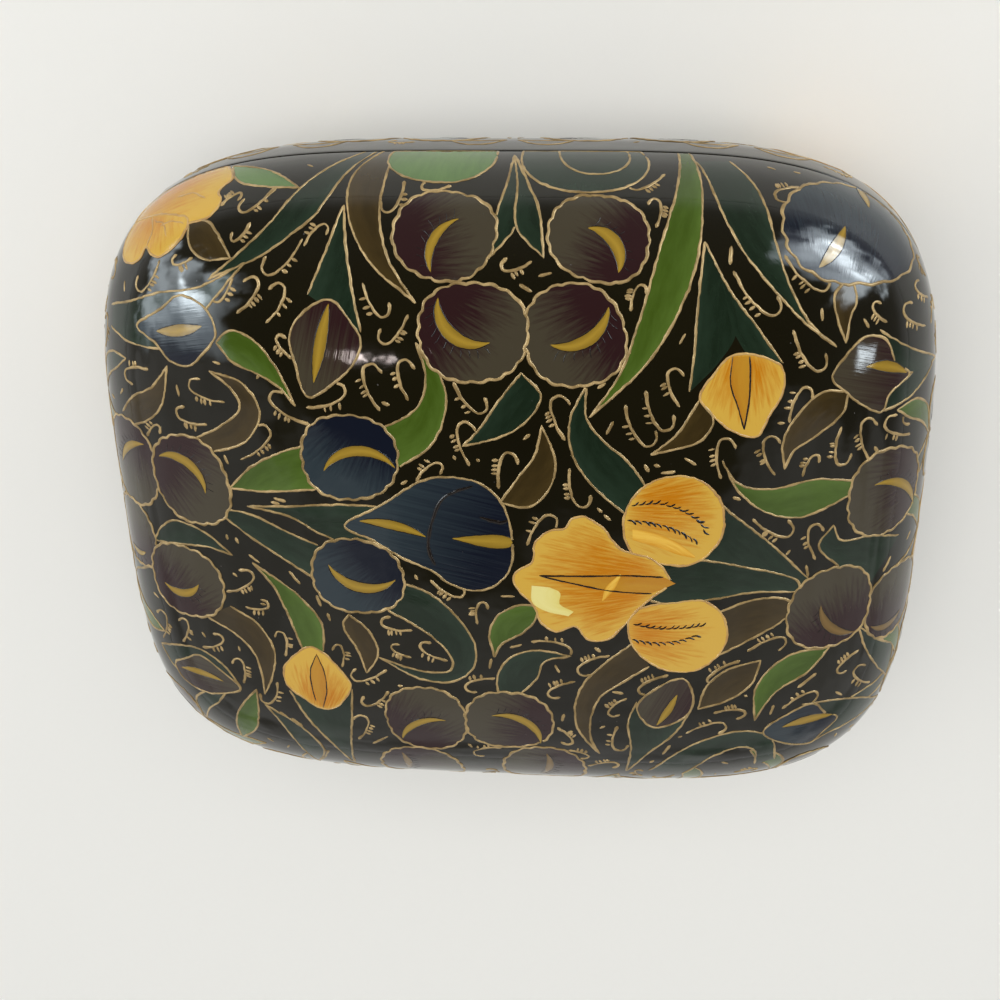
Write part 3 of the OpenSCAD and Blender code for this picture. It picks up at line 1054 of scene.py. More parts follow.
# The leaves on the lid
# Long leaves of bottle green, bright green and brown body colour spring from one flower and run behind
# the next. Each is laid in first, between its two edges, and the gold edges are drawn over it.
for colour, left, right, *lines in (
    # This first leaf is pale green lightened with painted sheen.
    (
        "pale", [(-46, 58), (-40, 57), (-35, 55.3), (-30.3, 52.7)],
        [(-46, 58), (-41, 53.8), (-36, 52.8), (-30.3, 52.7)],
    ),
    (
        "green", [(-24.5, 62.6), (-27.4, 57.6), (-30, 52.8), (-33, 47.2), (-37.3, 42.6), (-41.5, 39)],
        [(-22.6, 62.6), (-24.1, 56.4), (-26.4, 48.8), (-29.8, 45.4), (-33.6, 42.5), (-41.5, 39)],
    ),
    (
        "olive", [(-21.5, 63), (-23, 55), (-21.6, 48), (-18, 42), (-11.4, 36.6)],
        [(-19, 63), (-17.9, 55), (-17.2, 48), (-15.2, 42), (-11.4, 36.6)],
    ),
    (
        "green", [(1.2, 62), (0.7, 55), (-0.7, 48.5), (-2, 42.2)],
        [(1.2, 62), (2.8, 54), (2.1, 47.2), (-2, 42.2)],
    ),
    (
        "green", [(1.2, 62), (2.2, 54), (2.4, 47), (6.2, 42.9)],
        [(1.2, 62), (3.7, 54.5), (5.5, 49.5), (6.2, 42.9)],
    ),
    ("green", [(-22.7, 50), (-24.3, 43.5), (-26.6, 37.5)], [(-22.7, 50), (-20.9, 41), (-19.1, 32.5)]),
    (
        "bright", [(28.5, 62), (25.4, 53), (22.4, 45), (19.4, 35), (16.6, 27), (12.6, 21)],
        [(30.3, 62), (28.6, 51), (26.8, 41.5), (23.6, 33.8), (20, 28.3), (12.6, 21)],
    ),
    (
        "green", [(30, 59), (30.8, 50), (33.2, 44), (37, 39), (41, 34.7), (46.4, 30.4)],
        [(35.5, 59), (37.3, 50.5), (38, 44.5), (39.8, 38.7), (42.4, 34), (46.4, 30.4)],
    ),
    (
        "green", [(28.2, 45), (27.3, 38.5), (26.8, 31), (26.3, 24.8)],
        [(28.2, 45), (31.5, 38), (32.4, 33), (30.2, 29), (26.3, 24.8)], "left",
    ),
    (
        "green", [(28.2, 45), (30.5, 39), (31.8, 33.5), (34, 29.6)],
        [(28.2, 45), (31.4, 38.6), (34.9, 34), (38.8, 28.6)], "right",
    ),
    (
        "bright", [(-40.3, 30.2), (-38.2, 32.1), (-35, 31.2), (-31.6, 27.5), (-28.9, 21.6)],
        [(-40.3, 30.2), (-37.8, 27.6), (-34, 26), (-31, 24.2), (-28.9, 21.6)],
    ),
    (
        "bright", [(-11.4, 31.2), (-8.4, 27.5), (-7.3, 22.5), (-9.6, 16.5), (-14.8, 12.7)],
        [(-11.4, 31.2), (-10.1, 26.5), (-11.2, 22.3), (-14, 20.1), (-17.2, 18.6)],
    ),
    (
        "bright", [(-40.3, 7.9), (-36.6, 11.6), (-32.4, 14.1), (-28, 15.8)],
        [(-40.3, 7.9), (-35, 7.9), (-31, 8.3), (-26.7, 8.9)],
    ),
    (
        "green", [(-37.8, 5.2), (-31, 5.8), (-24, 6.6), (-18, 6.6)],
        [(-37.8, 5.2), (-31.5, 4.2), (-26.5, 1.5), (-19.3, -1)],
    ),
    (
        "green", [(-43.5, 4.2), (-37.5, 3.9), (-32, 1.6), (-27.2, -0.4)],
        [(-43.5, 4.2), (-38.2, 0.3), (-33, -3), (-28, -6.2)],
    ),
    (
        "green", [(-56, -4.2), (-54, -1.4), (-51, 0.6), (-45.5, -0.4), (-41.2, -3.6)],
        [(-56, -4.2), (-50, -3.3), (-45, -2.8), (-42.9, -3.2), (-41.2, -3.6)],
    ),
    (
        "olive", [(-59.7, 17), (-56.2, 20.2), (-52, 22.3), (-48.7, 26)],
        [(-58, 15), (-53.2, 17), (-50.3, 20), (-48.7, 26)],
    ),
    (
        "olive", [(-41.7, 26), (-36.6, 24.5), (-34.3, 20.5), (-36.8, 15.8), (-42.5, 13.4)],
        [(-41.7, 26), (-38.2, 23.4), (-37.3, 20.8), (-40.3, 18), (-45.2, 15.2)],
    ),
    (
        "olive", [(-46.2, 46.8), (-43, 47.1), (-40.2, 44.6), (-38.2, 42)],
        [(-46.2, 46.8), (-45, 43.4), (-42.5, 41.7), (-38.2, 42)],
    ),
    (
        "green", [(-61, 33.8), (-56, 34.7), (-49.5, 36.6), (-43, 37.8), (-36, 41.5)],
        [(-61, 30.4), (-55.5, 28.6), (-48, 29), (-43, 33.5), (-36, 41.5)],
    ),
    (
        "olive", [(27.6, 23.6), (26.2, 21), (24.6, 18.5), (21.2, 15.6)],
        [(27.6, 23.6), (29.7, 20.8), (28.2, 17.8), (21.2, 15.6)],
    ),
    (
        "olive", [(48.6, 23.8), (45, 24.2), (41.4, 21), (39.6, 17), (40.1, 12.9)],
        [(48.6, 23.8), (48, 20.8), (44.2, 17.6), (41.2, 15.6), (40.1, 12.9)],
    ),
    (
        "green", [(3.2, 27.3), (-0.4, 22.6), (-3, 18.7), (-5.2, 16.4)],
        [(3.2, 27.3), (5.9, 24), (3.8, 20.2), (-0.4, 17.7), (-5.2, 16.4)],
    ),
    (
        "green", [(12.2, 25.6), (10, 21), (10.3, 15.5), (13, 11), (17.8, 6.4)],
        [(12.2, 25.6), (12.2, 21), (14.6, 17.6), (18, 14.6), (20.8, 10.6)],
    ),
    (
        "olive", [(6, 19.8), (5.1, 15.4), (2.5, 11.6), (0, 7.8)],
        [(6, 19.8), (7.9, 14.5), (7, 10), (4, 7.2), (0, 7.8)],
    ),
    (
        "bright", [(31.2, 14.6), (33.6, 11), (38, 9.9), (45, 10.9), (51.5, 9.9)],
        [(31.2, 14.6), (33.9, 9.6), (38, 6.2), (43, 5.1), (51.5, 8.2)],
    ),
    (
        "green", [(30.5, 8.5), (33.5, 5.8), (39, 1), (45, -5.3)],
        [(28.3, -1.3), (33.3, -3.5), (38, -4.7), (43.5, -7)],
    ),
    (
        "green", [(21.8, -1.4), (28.8, -1.2), (34.7, -2.4), (43.3, -5.4), (43.9, -7.4)],
        [(20.8, -7.6), (24.5, -8.5), (30, -7.9), (37, -6.9), (43.9, -7.4)],
    ),
    (
        "olive", [(31.5, -10.3), (36, -8.4), (41, -8.2), (44, -9.8)],
        [(32, -17.8), (37, -15), (41, -12.6), (44, -9.8)],
    ),
    (
        "olive", [(20, -14.8), (15, -19.5), (12, -23.5), (10.8, -28), (11.5, -33.5), (14.8, -39.2)],
        [(22, -19.6), (18, -22.8), (14.6, -26), (13.2, -31), (13.4, -35.5), (14.8, -39.2)],
    ),
    (
        "green", [(-1.1, -26.4), (-0.9, -22), (1, -18.7), (4.6, -17.2), (10.3, -18)],
        [(2.2, -26), (5, -22.5), (6.2, -19.2), (10.3, -18)],
    ),
    (
        "bright", [(-1.4, -18.7), (-2, -14), (-0.4, -10.8), (3, -9.1), (5.4, -9.3)],
        [(-1.4, -18.7), (-0.2, -16.2), (3, -14), (4.9, -11.6), (5.4, -9.3)],
    ),
    (
        "green",
        [
            (-15.2, -5.9), (-11, -7.5), (-7, -11.4), (-4.3, -16.5), (-4.8, -21), (-8, -23.7),
            (-13, -23.4), (-19.2, -19.6),
        ],
        [
            (-17.6, -10.7), (-13, -13.5), (-9.2, -17), (-7.8, -20), (-8.6, -21.8), (-13, -21.8),
            (-19.2, -19.6),
        ],
    ),
    (
        "olive", [(-23.4, -11.9), (-24.4, -14), (-22.4, -18.5), (-21.4, -22.8)],
        [(-23.4, -11.9), (-20.3, -15), (-19.3, -19), (-21.4, -22.8)],
    ),
    (
        "bright", [(-38, -4.4), (-35, -8), (-33, -13), (-31.3, -19)],
        [(-38, -4.4), (-31.4, -9), (-27.8, -14), (-28, -19.8)],
    ),
    (
        "olive", [(-42.6, -12.8), (-38.2, -15.3), (-36, -20), (-36.9, -25), (-38.8, -29.3)],
        [(-47.4, -15.6), (-42.5, -17.8), (-39.5, -21), (-38.7, -25), (-38.8, -29.3)],
    ),
    (
        "bright", [(-40.1, -28.4), (-43.6, -33), (-45.6, -37.5), (-46.2, -43)],
        [(-40.1, -28.4), (-40.7, -34), (-42.2, -38.5), (-46.2, -43)],
    ),
    (
        "green", [(-59, -25.5), (-53.5, -23.2), (-49.6, -22.6), (-45.5, -24.6), (-42.9, -28.6)],
        [(-59, -25.5), (-56.5, -29), (-52, -30), (-47, -29), (-42.9, -28.6)],
    ),
    (
        "green", [(-34.4, -27.6), (-31.9, -34), (-28.6, -41), (-26.8, -47)],
        [(-24, -26.2), (-24.8, -33), (-25.9, -40), (-26.8, -47)],
    ),
    (
        "green", [(-39.2, -31.4), (-36.8, -36), (-34.6, -44), (-34, -49)],
        [(-39.2, -31.4), (-33.6, -36), (-31, -42), (-34, -49)],
    ),
    (
        "bright", [(49.5, -18.2), (44, -18.3), (40.4, -20.6), (38.3, -24.6), (38.7, -31)],
        [(49.5, -18.2), (46.5, -22), (42, -24.9), (39.9, -28), (38.7, -31)],
    ),
    (
        "olive", [(38.8, -19), (34, -20.3), (30.8, -23.4), (29.7, -28)],
        [(38.8, -19), (37.6, -23.4), (34, -26.5), (29.7, -28)],
    ),
    (
        "green", [(20.3, -26.6), (19.1, -31), (19.7, -37), (19.3, -45)],
        [(28.7, -28.4), (26, -34), (22.6, -38.5), (19.3, -45)],
    ),
    (
        "green", [(23, -44.5), (27.5, -38), (32, -34.6), (37, -33.2), (41.6, -35.2), (43.4, -42)],
        [(28.6, -46), (32.8, -39.6), (37, -37.2), (39.4, -38.3), (40.2, -43)],
    ),
    (
        "green", [(46, -28.6), (52, -29.2), (57, -31), (63, -35.5)],
        [(49, -38.8), (51.5, -37.2), (56, -36.5), (63, -35.5)],
    ),
    (
        "green", [(48.2, 3.2), (49.6, 0.5), (54.5, 0.2), (60.6, -1.5)],
        [(48.2, 3.2), (46.2, 0), (49.6, -3.9), (54.8, -9.3)],
    ),
    (
        "green", [(54.2, -15.5), (56, -20), (59, -25), (63, -30)],
        [(54.2, -15.5), (59, -20), (63, -23.5), (63, -30)],
    ),
    (
        "green", [(53, 32.2), (57, 29.9), (61, 28.2), (68, 26.4)],
        [(53.8, 30.4), (55.9, 26.8), (59.6, 25.2), (68, 26.4)],
    ),
    ("green", [(59.4, 25.1), (55.4, 23), (54.3, 20.2)], [(66, 26), (59.4, 21.6), (54.3, 20.2)]),
    (
        "olive", [(48.6, 40), (46, 37.5), (46.7, 33.5), (47.8, 30.8)],
        [(48.6, 40), (49.3, 37), (48.3, 34), (47.8, 30.8)],
    ),
):
    leaf(top, colour, left, right, *lines)

# The flowers on the lid
# Irises in plum, in blue and in yellow: four or more full petals each, with their buds beside them.
# A plum or blue petal is shaded from dark to pale, hatched across, and has one mustard crescent.
# The pale green disc high on the flank is lightened with painted sheen.
for colour, x, y, half_across, half_up in (
    ("pale", -10.5, 61.8, 9, 7.4), ("green", 12.5, 61.2, 10, 8.8), ("green", 14.4, 62.2, 5.6, 6.2),
):
    disc_outline = scalloped(top, x, y, half_across, half_up, 0, scallops=1, depth=0)
    disc_film(top, colour, (x, y), disc_outline, lambda grid: grid, lambda grid, part: part * 0.5)
    add_line(top, disc_outline, gold_width, "gold")

for colour, x, y, half_across, half_up, tilt, arc, width, pale_turn in (
    ("plum", -7.8, 46.2, 7.1, 6.5, -15, [(-9.4, 40.8), (-9, 45.8), (-5.9, 48.3)], 1.2, 20),
    ("plum", 13.8, 45.8, 6.9, 6.1, -10, [(12.3, 47), (15.8, 45.2), (16.4, 40.9)], 1.6, 150),
    ("plum", 10.5, 32.4, 6.8, 7.0, 10, [(15.1, 36.4), (13.3, 32.7), (7.2, 31.2)], 1.5, 215),
    ("plum", -3.5, 32.7, 7.4, 6.9, 0, [(-8.3, 37.4), (-7, 32.9), (-1.1, 31.4)], 1.6, -35),
    ("plum", -59.6, 8.6, 6.6, 7.3, 0, [(-55.2, 12.5), (-59, 11.4), (-62.5, 7.6)], 1.2, 260),
    ("plum", -47, 8.2, 6.5, 7.3, 10, [(-52.3, 11.2), (-47.6, 11.4), (-44.5, 6.4)], 1.4, -40),
    ("plum", -61.5, -4.6, 5.6, 6.2, 0, [(-64, -8), (-61.5, -8.6), (-59, -7.6)], 1.0, 90),
    ("plum", -50.5, -10, 6.9, 6.4, 0, [(-55, -11.6), (-52, -12.5), (-47.9, -10)], 1.3, 50),
    ("plum", 57.1, 7, 7.1, 6.9, 0, [(54.3, 8.6), (60, 7.5), (63.8, 2.6)], 1.3, 190),
    ("plum", 61.7, -13.4, 6.4, 6.4, 0, [(56.6, -16.4), (60, -17.8), (64, -16.6)], 1.1, 80),
    ("plum", 49.1, -11.1, 6.8, 6.9, 0, [(47.4, -10.3), (48.8, -13.9), (53.6, -16.3)], 1.3, 110),
    ("plum", -12.7, -32.3, 6.4, 7.1, 0, [(-17, -37.1), (-14.7, -33.4), (-9.6, -32.2)], 1.2, 50),
    ("plum", 0.4, -31.9, 7.0, 6.2, 0, [(-2.3, -30.7), (3, -31.7), (5.3, -37)], 1.3, 165),
    ("plum", -15, -46.6, 6.8, 7.0, 0, [(-17.7, -41.3), (-17.2, -45), (-18, -49)], 1.2, -30),
    ("plum", 5.8, -45.2, 6.7, 7.2, 0, [(6.2, -39.8), (6.7, -44), (5, -49)], 1.2, 180),
    ("blue", -21.6, 14.1, 6.9, 6.6, 0, [(-25.4, 11.9), (-19.8, 15.3), (-14.9, 12.8)], 1.4, 240),
    ("blue", -21.6, -5.3, 6.9, 6.3, 0, [(-25.9, -3.5), (-20, -7.2), (-15.8, -5.5)], 1.5, 220),
    ("blue", 51.2, 46.6, 11.6, 8, 4, [(43.8, 41.2), (46.4, 43.6), (48.7, 46.8)], 1.5, 70),
):
    petal(top, colour, x, y, half_across, half_up, tilt, arc, width, pale_turn)

blue_heart = [
    (-23, 3.1), (-17, 7), (-11, 11), (-6.5, 11.6), (-2.4, 10.5), (0.2, 7.8), (1.5, 3.2),
    (1.4, -2.5), (-0.6, -5.6), (-3.8, -6.9), (-7.4, -6), (-10.2, -3.8), (-14.5, -1.8), (-19, 1.1),
]
bud(top, "blue", blue_heart, [(-20.7, 4.1), (-15.5, 3.6), (-10.9, 1.9)], 1.3, pale_turn=160)
crescent(top, "mustard", [(1.7, 1.4), (-2, 1.5), (-7.1, 1.8)], 1.9, blunt=0.5)
stroke(
    top, (-3.8, 10.3), (-6.8, 9.2), (-8.4, 8), (-9.6, 5.4), (-10.4, 2.5), (-10.6, -0.1), (-9.8, -2.8),
    width=0.5, colour="dark",
)
stroke(top, (-3, 5.4), (0, 4.6), (1.2, 5), width=0.6, colour="dark")
crescent(top, "mustard", [(57.4, 55.2), (56.2, 52.8), (55, 50)], 1.5)

for colour, points, stripe, width, pale_turn in (
    (
        "plum",
        [
            (-27, 23.1), (-28.6, 28), (-29.2, 32), (-27.4, 34.9), (-23.5, 36.9), (-20.8, 34.3),
            (-19.1, 31.4), (-20, 28.4), (-23.6, 24.9),
        ],
        [(-23.6, 36.3), (-24.8, 31), (-26, 25.2)], 1.5, 230,
    ),
    (
        "plum",
        [
            (46, 26), (48.2, 29.4), (50.7, 31.4), (54, 30.9), (56.2, 27), (58.8, 25.2), (55.4, 22.8),
            (54.2, 20.2), (50.4, 22), (48, 24),
        ],
        [(51, 27.2), (54.5, 26.9), (58.3, 25.4)], 1.4, 190,
    ),
    (
        "plum",
        [
            (27.2, -21.9), (28.9, -26), (27.9, -29.5), (23.4, -32.1), (21.4, -30.6), (20.4, -27.4),
            (23, -24),
        ],
        [(26.4, -25), (25, -28.6), (23.5, -31.6)], 1.1, 160,
    ),
    (
        "plum",
        [
            (-56, -28.2), (-52.8, -25.6), (-49.8, -23.9), (-46, -26), (-43, -29), (-46.6, -31),
            (-50, -32), (-54.6, -31),
        ],
        [(-54.7, -28.4), (-50.5, -27.6), (-46, -28.2)], 1.2, 60,
    ),
    (
        "blue",
        [
            (40.3, -33.7), (44, -30.2), (48, -28.8), (50.4, -31.6), (52.8, -33.5), (50.5, -36.6),
            (49, -38.6), (44.4, -37.4),
        ],
        [(43.3, -33.1), (47.5, -32.2), (51.8, -32.4)], 1.5, 200,
    ),
    (
        "blue",
        [
            (-54, 31.3), (-50.3, 29.1), (-48.3, 27), (-45, 26.4), (-42.4, 28.5), (-40.3, 31.4),
            (-41.7, 34.8), (-46, 36.5), (-49.4, 34.2),
        ],
        [(-50.2, 31), (-46, 31.5), (-42.4, 32.4)], 1.5, 100,
    ),
):
    bud(top, colour, points, stripe, width, pale_turn)

for points, glow, root in (
    (
        [
            (-61, 47.4), (-60.5, 53), (-57, 57.6), (-52, 59), (-46.5, 57.6), (-42.6, 54.4),
            (-43.3, 51.9), (-41.9, 50.2), (-42.6, 48), (-45.2, 46.9), (-51, 46), (-56, 45.8),
        ],
        (-57, 56), (-62, 46),
    ),
    (
        [
            (-60.4, 46.8), (-56.6, 47.6), (-51, 48), (-46.4, 47.2), (-46.5, 45), (-48, 43),
            (-50.2, 41.6), (-51.9, 41.9), (-53.4, 42.9), (-54, 41.4), (-56, 40.3), (-58.4, 40.7),
            (-60, 42.3), (-60.9, 44.6),
        ],
        (-55, 49.5), (-54, 52),
    ),
    (
        [
            (24.8, 12.4), (28.6, 11.4), (31.2, 8.4), (32, 4.6), (30.8, 0.8), (27.6, -1.8),
            (23.4, -1.7), (19.4, -0.3), (17.7, 3.4), (18.2, 7.6), (20.8, 11),
        ],
        (22.5, 10.5), (8, 7),
    ),
    (
        [
            (29.6, -8), (32.4, -10.4), (33.4, -14.2), (32, -18), (28.8, -20.4), (24.6, -20.3),
            (20.8, -17.8), (18.8, -14), (19.3, -10), (22.4, -8.6), (26, -8.2),
        ],
        (19, -13), (4, -12.6),
    ),
    (
        [
            (12, 5.9), (14.6, 4.2), (17.4, 0.6), (21.6, -0.8), (23.6, -2.6), (24.6, -4.8), (22.4, -7),
            (20.2, -9.2), (18, -12.2), (15.4, -14.9), (12.6, -14.8), (10.9, -12.6), (8, -13.6),
            (5.7, -12), (4.6, -9), (2.3, -6.4), (1.9, -3.8), (4.6, -1.6), (5, 1.6), (7.4, 3.6),
            (9.2, 3.8), (10.3, 5.5),
        ],
        (17.5, -4.6), (24, -4.8),
    ),
    (
        [
            (31.4, 29.6), (34.6, 29.9), (38.6, 28.2), (39.2, 24.8), (37.6, 21.5), (35.7, 18.1),
            (32, 19.3), (29.4, 21.7), (27.7, 24.2), (29.6, 27.3),
        ],
        (33.5, 29.5), (33.5, 34),
    ),
    (
        [
            (-29.9, -18.4), (-32.6, -20.2), (-34.7, -23.2), (-34.6, -26.6), (-32.3, -28.8),
            (-29.8, -30.8), (-27.4, -30.6), (-25.4, -28.4), (-24.1, -25.6), (-25.9, -22), (-28, -19.4),
        ],
        (-28.6, -30), (-30.5, -34),
    ),
):
    yellow_petal(top, points, glow, root)

# The two glow strips are painted highlights: bright yellow patches on the lower part of the upper disc and
# on the main yellow petal stand for light shining off them. Their edges fade into the orange beneath.
for colour, left, right in (
    (
        "amber", [(5.6, -4), (12, -3.9), (18, -3.7), (23.4, -3.9), (25.4, -5)],
        [(5.6, -4), (11, -5.3), (16, -6.3), (21.6, -6.6), (25.4, -5)],
    ),
    (
        "lemon", [(4.4, -5.7), (4.5, -8.6), (6.4, -10), (9.8, -10.8)],
        [(7, -5.9), (8.6, -6.8), (8.5, -8.7), (10.6, -10)],
    ),
    (
        "glow", [(18.9, 4), (22.5, 3.2), (25.5, 1.7), (28, -0.4)],
        [(19, 2.2), (22.2, 1.2), (25.6, -0.2), (28, -0.8)],
    ),
    ("glow", [(17.3, -3.4), (15.2, -5.8), (14.7, -8)], [(17.5, -3.6), (16.4, -6.2), (14.9, -8)]),
    (
        "amber", [(32.1, 29.6), (31.9, 26), (33, 22.6), (34, 19.4)],
        [(34.2, 29.7), (34.5, 26), (34.4, 22.6), (34, 19.4)],
    ),
    (
        "amber", [(-29.1, -19.6), (-30.3, -23), (-30.4, -26.6), (-29.3, -30.6)],
        [(-29.1, -19.6), (-28.2, -23), (-28.2, -27), (-29.3, -30.6)],
    ),
):
    strip(top, colour, left, right, shade=1.6 if colour == "glow" else 0.5)
for points, width in (
    ([(5.5, -4), (12, -3.9), (18, -3.7), (23.6, -3.9)], 0.28),
    ([(5.5, -4), (11, -5.3), (16, -6.3), (22, -6.7)], 0.28),
    ([(32, 29.8), (31.8, 26), (33, 22.4), (34, 19.2)], 0.24),
    ([(34.3, 29.7), (34.5, 26), (34.4, 22.6), (34, 19.2)], 0.24),
    ([(-29.1, -19.8), (-30.4, -23), (-30.5, -26.6), (-30.2, -29.4)], 0.2),
    ([(-29.1, -19.8), (-28.2, -23), (-28.2, -27), (-29.2, -30.7)], 0.2),
):
    stroke(top, *points, width=width, colour="dark", wobble=0.02)
for points in (
    [(-53.2, 43), (-53, 45.4), (-54.6, 47.6)], [(-49.6, 44.6), (-51, 46.4), (-53.4, 47)],
    [(-47, 46.6), (-49.4, 46.9), (-51.6, 46.2)], [(-45, 50.6), (-48, 51.6), (-51.4, 51)],
):
    stroke(top, *points, width=0.3, colour="ochre", wobble=0.06)
comb(top, (18.7, 7.7), (22.5, 8), (26, 6.8), (28.6, 4.8), (29.3, 3.2), side=1)
comb(top, (18.2, 5.4), (21.5, 5), (25, 3.9), (28.4, 1.9), side=-1)
comb(top, (19.4, -12), (22.5, -12.7), (26.5, -12.7), (29.8, -12.3), side=1)
comb(top, (19.3, -14.7), (22.5, -15.2), (26, -14.9), (29, -13.9), side=-1)

# The hooks on the lid
# What ground is left is filled with gold hooks, each drawn with one turn of the brush and given three
# or four ticks, and with single short strokes. No patch of black bigger than a fingertip stays bare.
for x, y, head_x, head_y, curl in (
    (-27.3, 21.5, -22.4, 22.9, 1), (-27, 19, -32, 21.4, -1), (-38, 12.7, -33.4, 16.3, 1),
    (-16.7, 21.4, -18.9, 26.4, -1), (-12.6, 23, -14, 27.4, -1), (-6.2, 25.8, -3.6, 21.8, 1),
    (-4.2, 13.5, -5.9, 18.4, -1), (-12, 10.8, -9.6, 13.6, -1), (-0.1, 10, 0.3, 14.6, -1),
    (-27.8, 45, -31.2, 40.4, -1), (-27.5, 44, -25.8, 46.8, -1), (-37, 34.5, -34, 37.8, 1),
    (-32.6, 33.4, -30, 37.2, 1), (-18.8, 39.2, -17, 35.2, 1), (-12.5, 35, -14.8, 31.4, -1),
    (-29, 28.6, -31, 30.6, -1), (-39.6, 21.5, -44.3, 22.4, -1), (-42.8, 17.7, -47, 18, -1),
    (-54.2, 14.1, -52.4, 16.2, -1), (-52.2, 25, -56.8, 24.4, 1), (9.3, 17.6, 7.3, 22.4, -1),
    (17.5, 22.9, 19.6, 17.6, 1), (20.3, 25, 21.9, 20, 1), (25, 22.6, 23.2, 26.6, -1),
    (31.2, 11.8, 30.4, 16.6, -1), (38.8, 12, 36.8, 16.4, -1), (10, 13.4, 10.5, 8.4, 1),
    (3.8, 1, 6, 5.4, -1), (36, 5.3, 40.2, 2.2, 1), (40.2, 33, 42.8, 27.8, 1),
    (40.3, 20, 41.3, 24.2, -1), (42.8, 11.5, 43.8, 14.3, -1), (48, 18.7, 47.5, 14, 1),
    (53, 12.8, 51, 17.8, -1), (60.5, 15.5, 55.8, 17, -1), (63.6, 19.4, 59.4, 19.3, 1),
    (45.9, -2.2, 44.4, 2.2, -1), (62.6, 31.8, 58, 33.4, -1), (54.2, 33.2, 52, 35, -1),
    (39, 43, 43.2, 38.4, 1), (64.5, 36, 61, 37, -1), (44, 53, 40, 52.4, 1),
    (32, 41, 36.2, 35.5, 1), (24.2, 55.8, 20.2, 53, -1), (21.7, 47, 22.6, 50.3, 1),
    (4.6, 42.4, 1.4, 41.1, -1), (-14.8, 54.4, -15.2, 50, -1), (-7.6, 53.7, -11, 52.8, -1),
    (-34, 52.6, -36.6, 48.9, -1), (-44.3, 41.8, -46.8, 40.7, -1), (-37.6, 40, -39.2, 36.4, -1),
    (-50, 41.2, -52.3, 37, -1), (-43, -10.3, -38.6, -8, 1), (-40, -12.5, -36.8, -12.4, 1),
    (-53, -22.3, -51.2, -18.8, 1), (-58, -23.8, -56, -19.4, 1), (-48.9, -22, -45.3, -20.4, 1),
    (-42.3, -27.7, -41.7, -23.8, 1), (-34.3, -20.8, -33.8, -17.2, 1), (-25.2, -21.9, -24.8, -18.6, 1),
    (-18.2, -21.9, -22.2, -24.4, -1), (-18.2, -26.2, -21, -29.4, -1), (-13.7, -14.3, -17.6, -14, -1),
    (-14.2, -19.4, -16.8, -18.2, -1), (-8.6, -19.7, -12.2, -18.1, -1), (-10.6, -5.4, -7.2, -8, 1),
    (-3.8, -12.8, -3.7, -9.6, -1), (-1.4, -22.8, -5.4, -23.8, 1), (4.2, -15.6, 9.2, -16, -1),
    (16, -17.7, 11.8, -19.6, 1), (10.8, -22.9, 7.2, -24.6, 1), (24.9, -21.3, 21, -23.2, 1),
    (18.7, -25.9, 16.2, -28.4, 1), (35.6, -18.8, 31.4, -21.2, 1), (36.6, -17.2, 40.8, -15.1, -1),
    (54.9, -20.2, 51.7, -22.2, 1), (42.8, -29, 46.8, -26.4, -1), (58.4, -28.4, 54.8, -25.4, -1),
    (28.2, -33.4, 32.6, -31.1, -1), (32.2, -29, 36, -28.4, -1), (17.5, -32, 16.8, -36.8, 1),
    (8, -32.8, 10.3, -35.6, -1), (-24.4, -38, -22.2, -33.6, 1), (-1, -38.6, -5, -39.6, 1),
    (13, -43.6, 16.6, -41.9, -1), (-36.2, -26.2, -37.6, -30.6, -1), (9.8, -38.6, 12.6, -39.6, -1),
    (-36, 47, -37.4, 44.6, -1), (-41.6, 49.4, -40, 51.4, -1), (18.1, 35.8, 18.8, 38.8, -1),
):
    hook(top, x, y, head_x, head_y, curl, ticks=int(top.random.integers(3, 5)))

